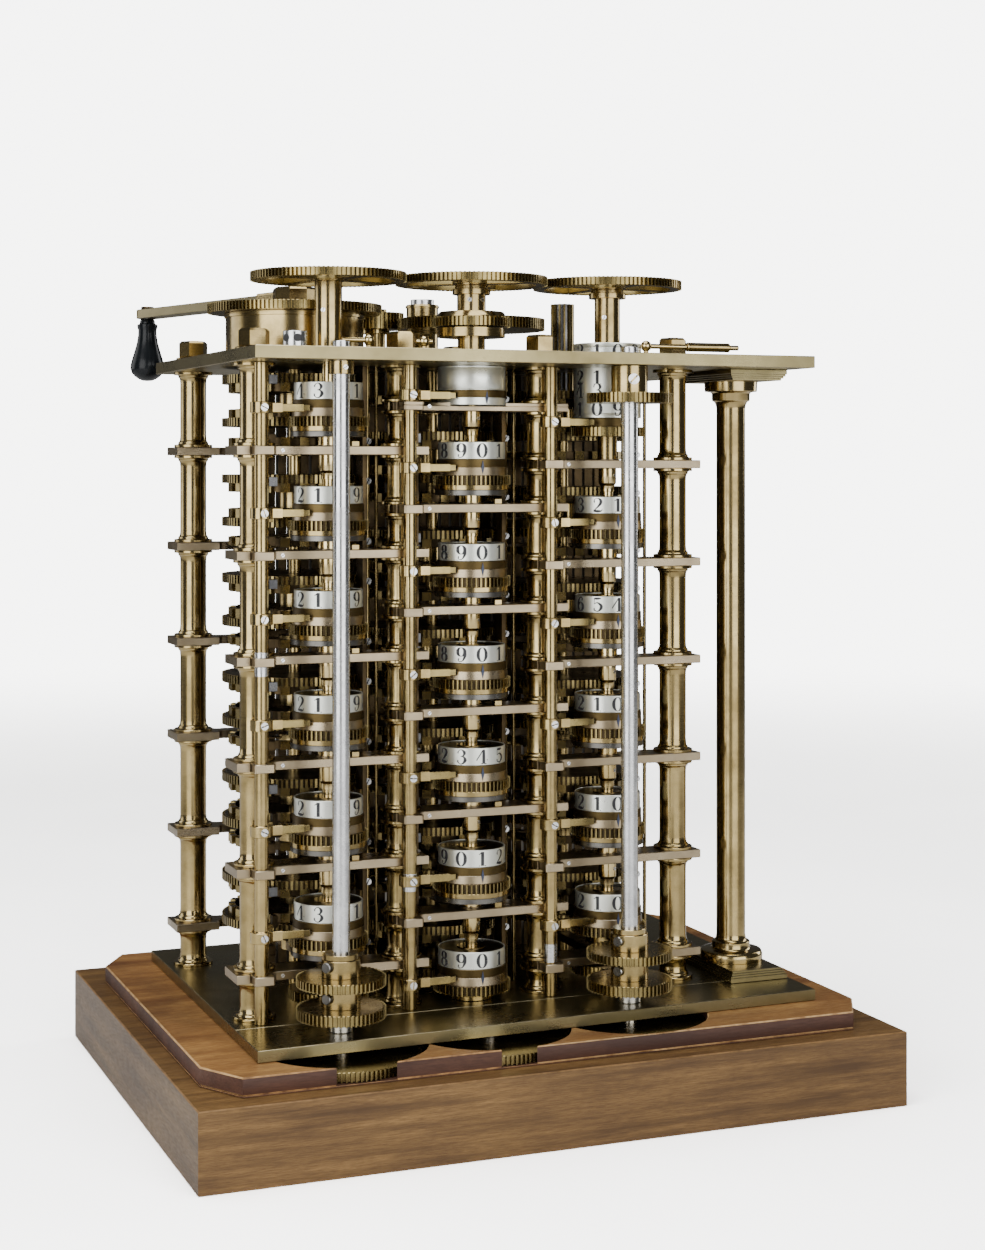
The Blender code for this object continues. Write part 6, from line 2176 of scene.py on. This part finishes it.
@dataclass(frozen=True)
class DeckParts:
    """Fixed parts that stand on the top plate among the gears."""

    tall_post: Point = (-0.004, 0.108)
    tall_radius: float = 0.015
    tall_height: float = 0.056
    cap_radius: float = 0.011
    cap_height: float = 0.005
    block: Point = (-0.2011, -0.136)
    block_radius: float = 0.0098
    block_height: float = 0.0135
    bore: float = 0.0036
    link_y: float = -0.13
    link_rise: float = 0.0078
    link_radius: float = 0.0022
    links: tuple[Point, ...] = ((-0.1595, -0.1363), (-0.0954, -0.0813), (0.1155, 0.205))
    sleeve: Point = (0.1545, 0.196)
    sleeve_radius: float = 0.004
    balls: tuple[float, ...] = (-0.1363, -0.0883, 0.1155)
    ball_radius: float = 0.0048
    bore_angles: tuple[float, float] = (-155.0, -92.0)

    def build(self) -> None:
        """Build the post, the drilled block and the links."""
        deck = LAYOUT.deck
        post = Draft()
        top = deck + self.tall_height
        post.stack([(self.tall_radius, deck, top),
                    (self.tall_radius + 1.0 * MM, top - 3.0 * MM, top - 1.0 * MM),
                    (self.cap_radius, top, top + self.cap_height, Finish.STEEL)], self.tall_post, 32)
        post.piece("capped_post", "base", "aged_brass")
        block = Draft()
        block.stack([(self.block_radius, deck, deck + self.block_height, Finish.STEEL)], self.block, 32)
        # Each bore is a short black rod through the block's side: painted shade in the drilled hole.
        for angle in self.bore_angles:
            across = Vector((math.cos(math.radians(angle)), math.sin(math.radians(angle)), 0.0))
            middle = Vector((*self.block, deck + self.link_rise))
            block.rod(middle, middle + across * (self.block_radius + 0.1 * MM), self.bore, Finish.INK_AND_PAINTED_SHADE)
        block.piece("drilled_block", "base", "grey_steel")
        links = Draft()
        z = deck + self.link_rise
        for start, stop in self.links:
            links.rod((start, self.link_y, z), (stop, self.link_y, z), self.link_radius, Finish.BRIGHT)
        links.rod((self.sleeve[0], self.link_y, z), (self.sleeve[1], self.link_y, z),
                  self.sleeve_radius, Finish.TURNED)
        for x in self.balls:
            ball = arc((0.0, z), self.ball_radius, -90.0, 90.0, 10)
            links.lathe(ball, Finish.BRIGHT, (x, self.link_y), 20, edge=0.0)
            links.stack([(self.link_radius, deck, z)], (x, self.link_y), 12)
        links.piece("ball_links", "base", "aged_brass")


@dataclass(frozen=True)
class CornerColumn:
    """Column at the front right corner with a moulded base and capital."""

    block_height: float = 0.0093
    step: float = 0.0038
    shaft: float = 0.013
    base_profile: tuple[Point, ...] = (
        (0.0282, 0.0), (0.0284, 0.005), (0.027, 0.0085), (0.0225, 0.0092), (0.0185, 0.0094),
        (0.0172, 0.011), (0.017, 0.016), (0.015, 0.0168), (0.0136, 0.0185), (0.013, 0.0225),
    )
    capital_profile: tuple[Point, ...] = (
        (0.013, 0.024), (0.0136, 0.0205), (0.015, 0.018), (0.017, 0.017), (0.0172, 0.0105),
        (0.019, 0.0092), (0.0235, 0.0088), (0.024, 0.0),
    )

    def build(self) -> None:
        """Build the column."""
        low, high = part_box("corner_column")
        centre = centre_of("corner_column")
        axis = (centre.x, centre.y)
        draft = Draft()
        self._block(draft, low, high, low.z, 1)
        self._block(draft, low, high, high.z, -1)
        foot, head = low.z + self.block_height - 0.1 * MM, high.z - self.block_height + 0.1 * MM
        profile = [(radius, foot + rise) for radius, rise in self.base_profile]
        profile += [(radius, head - drop) for radius, drop in self.capital_profile]
        draft.lathe(capped(profile), Finish.TURNED, axis, 44)
        draft.piece("moulded_column", "base", "aged_brass", ["corner_column"])

    def _block(self, draft: Draft, low: Vector, high: Vector, face: float, sign: int) -> None:
        """Add a moulded block that narrows away from its plate."""
        tiers = ((0.0, 0.0, 0.42), (0.25, 0.42, 0.62), (0.6, 0.62, 0.8), (1.0, 0.8, 1.0))
        for inset, start, stop in tiers:
            cut = self.step * inset
            ends = sorted((face + sign * self.block_height * start, face + sign * self.block_height * stop))
            draft.block((low.x + cut, low.y + cut, ends[0]), (high.x - cut, high.y - cut, ends[1]),
                        Finish.PLATE, edge=0.25 * MM)


@dataclass(frozen=True)
class Studio:
    """Pale floor that fades into a white surround, soft lights and the camera."""

    camera_place: tuple[float, float, float] = (-0.6945, -1.8063, 0.5472)
    camera_turn: float = -21.705
    lens: float = 61.92
    sensor_width: float = 36.0
    shift_y: float = -0.131
    floor_radius: float = 5.0
    fade_start: float = 1.2
    fade_stop: float = 4.0
    lights: tuple[tuple[str, tuple, tuple, float, float, float], ...] = (
        ("left_box", (-2.0, -1.34, 0.95), (0.0, 0.0, 0.4), 1.75, 1.9, 46.0),
        ("right_box", (0.5, -2.72, 0.95), (0.0, 0.0, 0.4), 2.3, 1.9, 52.0),
        ("side_box", (2.7, 0.6, 1.3), (0.0, 0.0, 0.35), 0.9, 1.8, 20.0),
        ("back_box", (-2.1, 1.7, 1.1), (0.0, 0.0, 0.4), 1.5, 1.8, 16.0),
        ("top_box", (-0.3, -0.2, 3.2), (0.0, 0.0, 0.3), 2.4, 2.4, 90.0),
    )
    ambient: Colour = (0.07, 0.07, 0.07)
    surround: Colour = (6.5, 6.5, 6.4)
    floor_gain: float = 5.0

    def build(self) -> None:
        """Build the floor, lights, world and camera."""
        self._floor()
        self._world()
        for name, place, target, width, height, power in self.lights:
            data = bpy.data.lights.new(name, "AREA")
            data.shape = "RECTANGLE"
            data.size, data.size_y, data.energy = width, height, power
            light = put(name, data)
            light.location = place
            light.rotation_euler = (Vector(target) - Vector(place)).to_track_quat("-Z", "Y").to_euler()
        data = bpy.data.cameras.new("camera")
        data.lens, data.sensor_width, data.shift_y = self.lens, self.sensor_width, self.shift_y
        data.sensor_fit = "AUTO"
        camera = put("camera", data)
        camera.location = self.camera_place
        camera.rotation_euler = (math.radians(90), 0.0, math.radians(self.camera_turn))
        bpy.context.scene.camera = camera

    def _world(self) -> None:
        """Make a dim surround for the light, which the camera sees as white paper."""
        world = bpy.data.worlds.new("studio")
        world.use_nodes = True
        sheet = NodeSheet(world.node_tree)
        seen = sheet.node("ShaderNodeLightPath").outputs["Is Camera Ray"]
        sheet.feed(world.node_tree.nodes["Background"], Color=sheet.mix(seen, self.ambient, self.surround))
        bpy.context.scene.world = world

    def _floor(self) -> None:
        """Lay the pale floor, whose rim fades into the surround."""
        points = [(0.0, 0.0, 0.0)]
        points += [(x, y, 0.0) for x, y in ring_points((0.0, 0.0), self.floor_radius, 64)]
        mesh = bpy.data.meshes.new("floor")
        mesh.from_pydata(points, [], [(0, 1 + i, 1 + (i + 1) % 64) for i in range(64)])
        material = MATERIALS[Finish.FLOOR]
        sheet = NodeSheet(material.node_tree)
        shader = material.node_tree.nodes["Principled BSDF"]
        seen = sheet.node("ShaderNodeLightPath").outputs["Is Camera Ray"]
        plain = shader.inputs["Base Color"].links[0].from_socket
        lifted = sheet.node("ShaderNodeMix", data_type="RGBA", blend_type="MULTIPLY")
        sheet.feed(lifted, i0=1.0, i6=plain, i7=(self.floor_gain,) * 3 + (1.0,))
        distance = sheet.node("ShaderNodeVectorMath", operation="LENGTH")
        sheet.feed(distance, i0=sheet.place())
        fade = sheet.node("ShaderNodeMapRange", clamp=True, interpolation_type="SMOOTHSTEP")
        sheet.feed(fade, Value=distance.outputs["Value"], From_Min=self.fade_start,
                   From_Max=self.fade_stop, To_Min=1.0, To_Max=0.0)
        sheet.feed(shader, Base_Color=sheet.mix(seen, plain, lifted.outputs[2]), Alpha=fade.outputs[0])
        mesh.materials.append(material)
        floor = put("floor", mesh)


def main() -> None:
    """Build the machine piece by piece."""
    logging.basicConfig(level=logging.INFO, format="%(message)s")
    groups = ShaderGroups()
    for finish in FINISHES:
        MATERIALS[finish.finish] = finish.build(groups)
    Studio().build()
    for part in (Woodwork, Plates, Frames, Nuts, PointerRods, FigureWheels, Drums, ColumnDrives,
                 FrontDrives, RearAxes, CarryWork, Train, CornerColumn, DeckParts):
        part().build()
    SCREWS.build()
    bpy.context.view_layer.update()


if __name__ == "__main__":
    main()
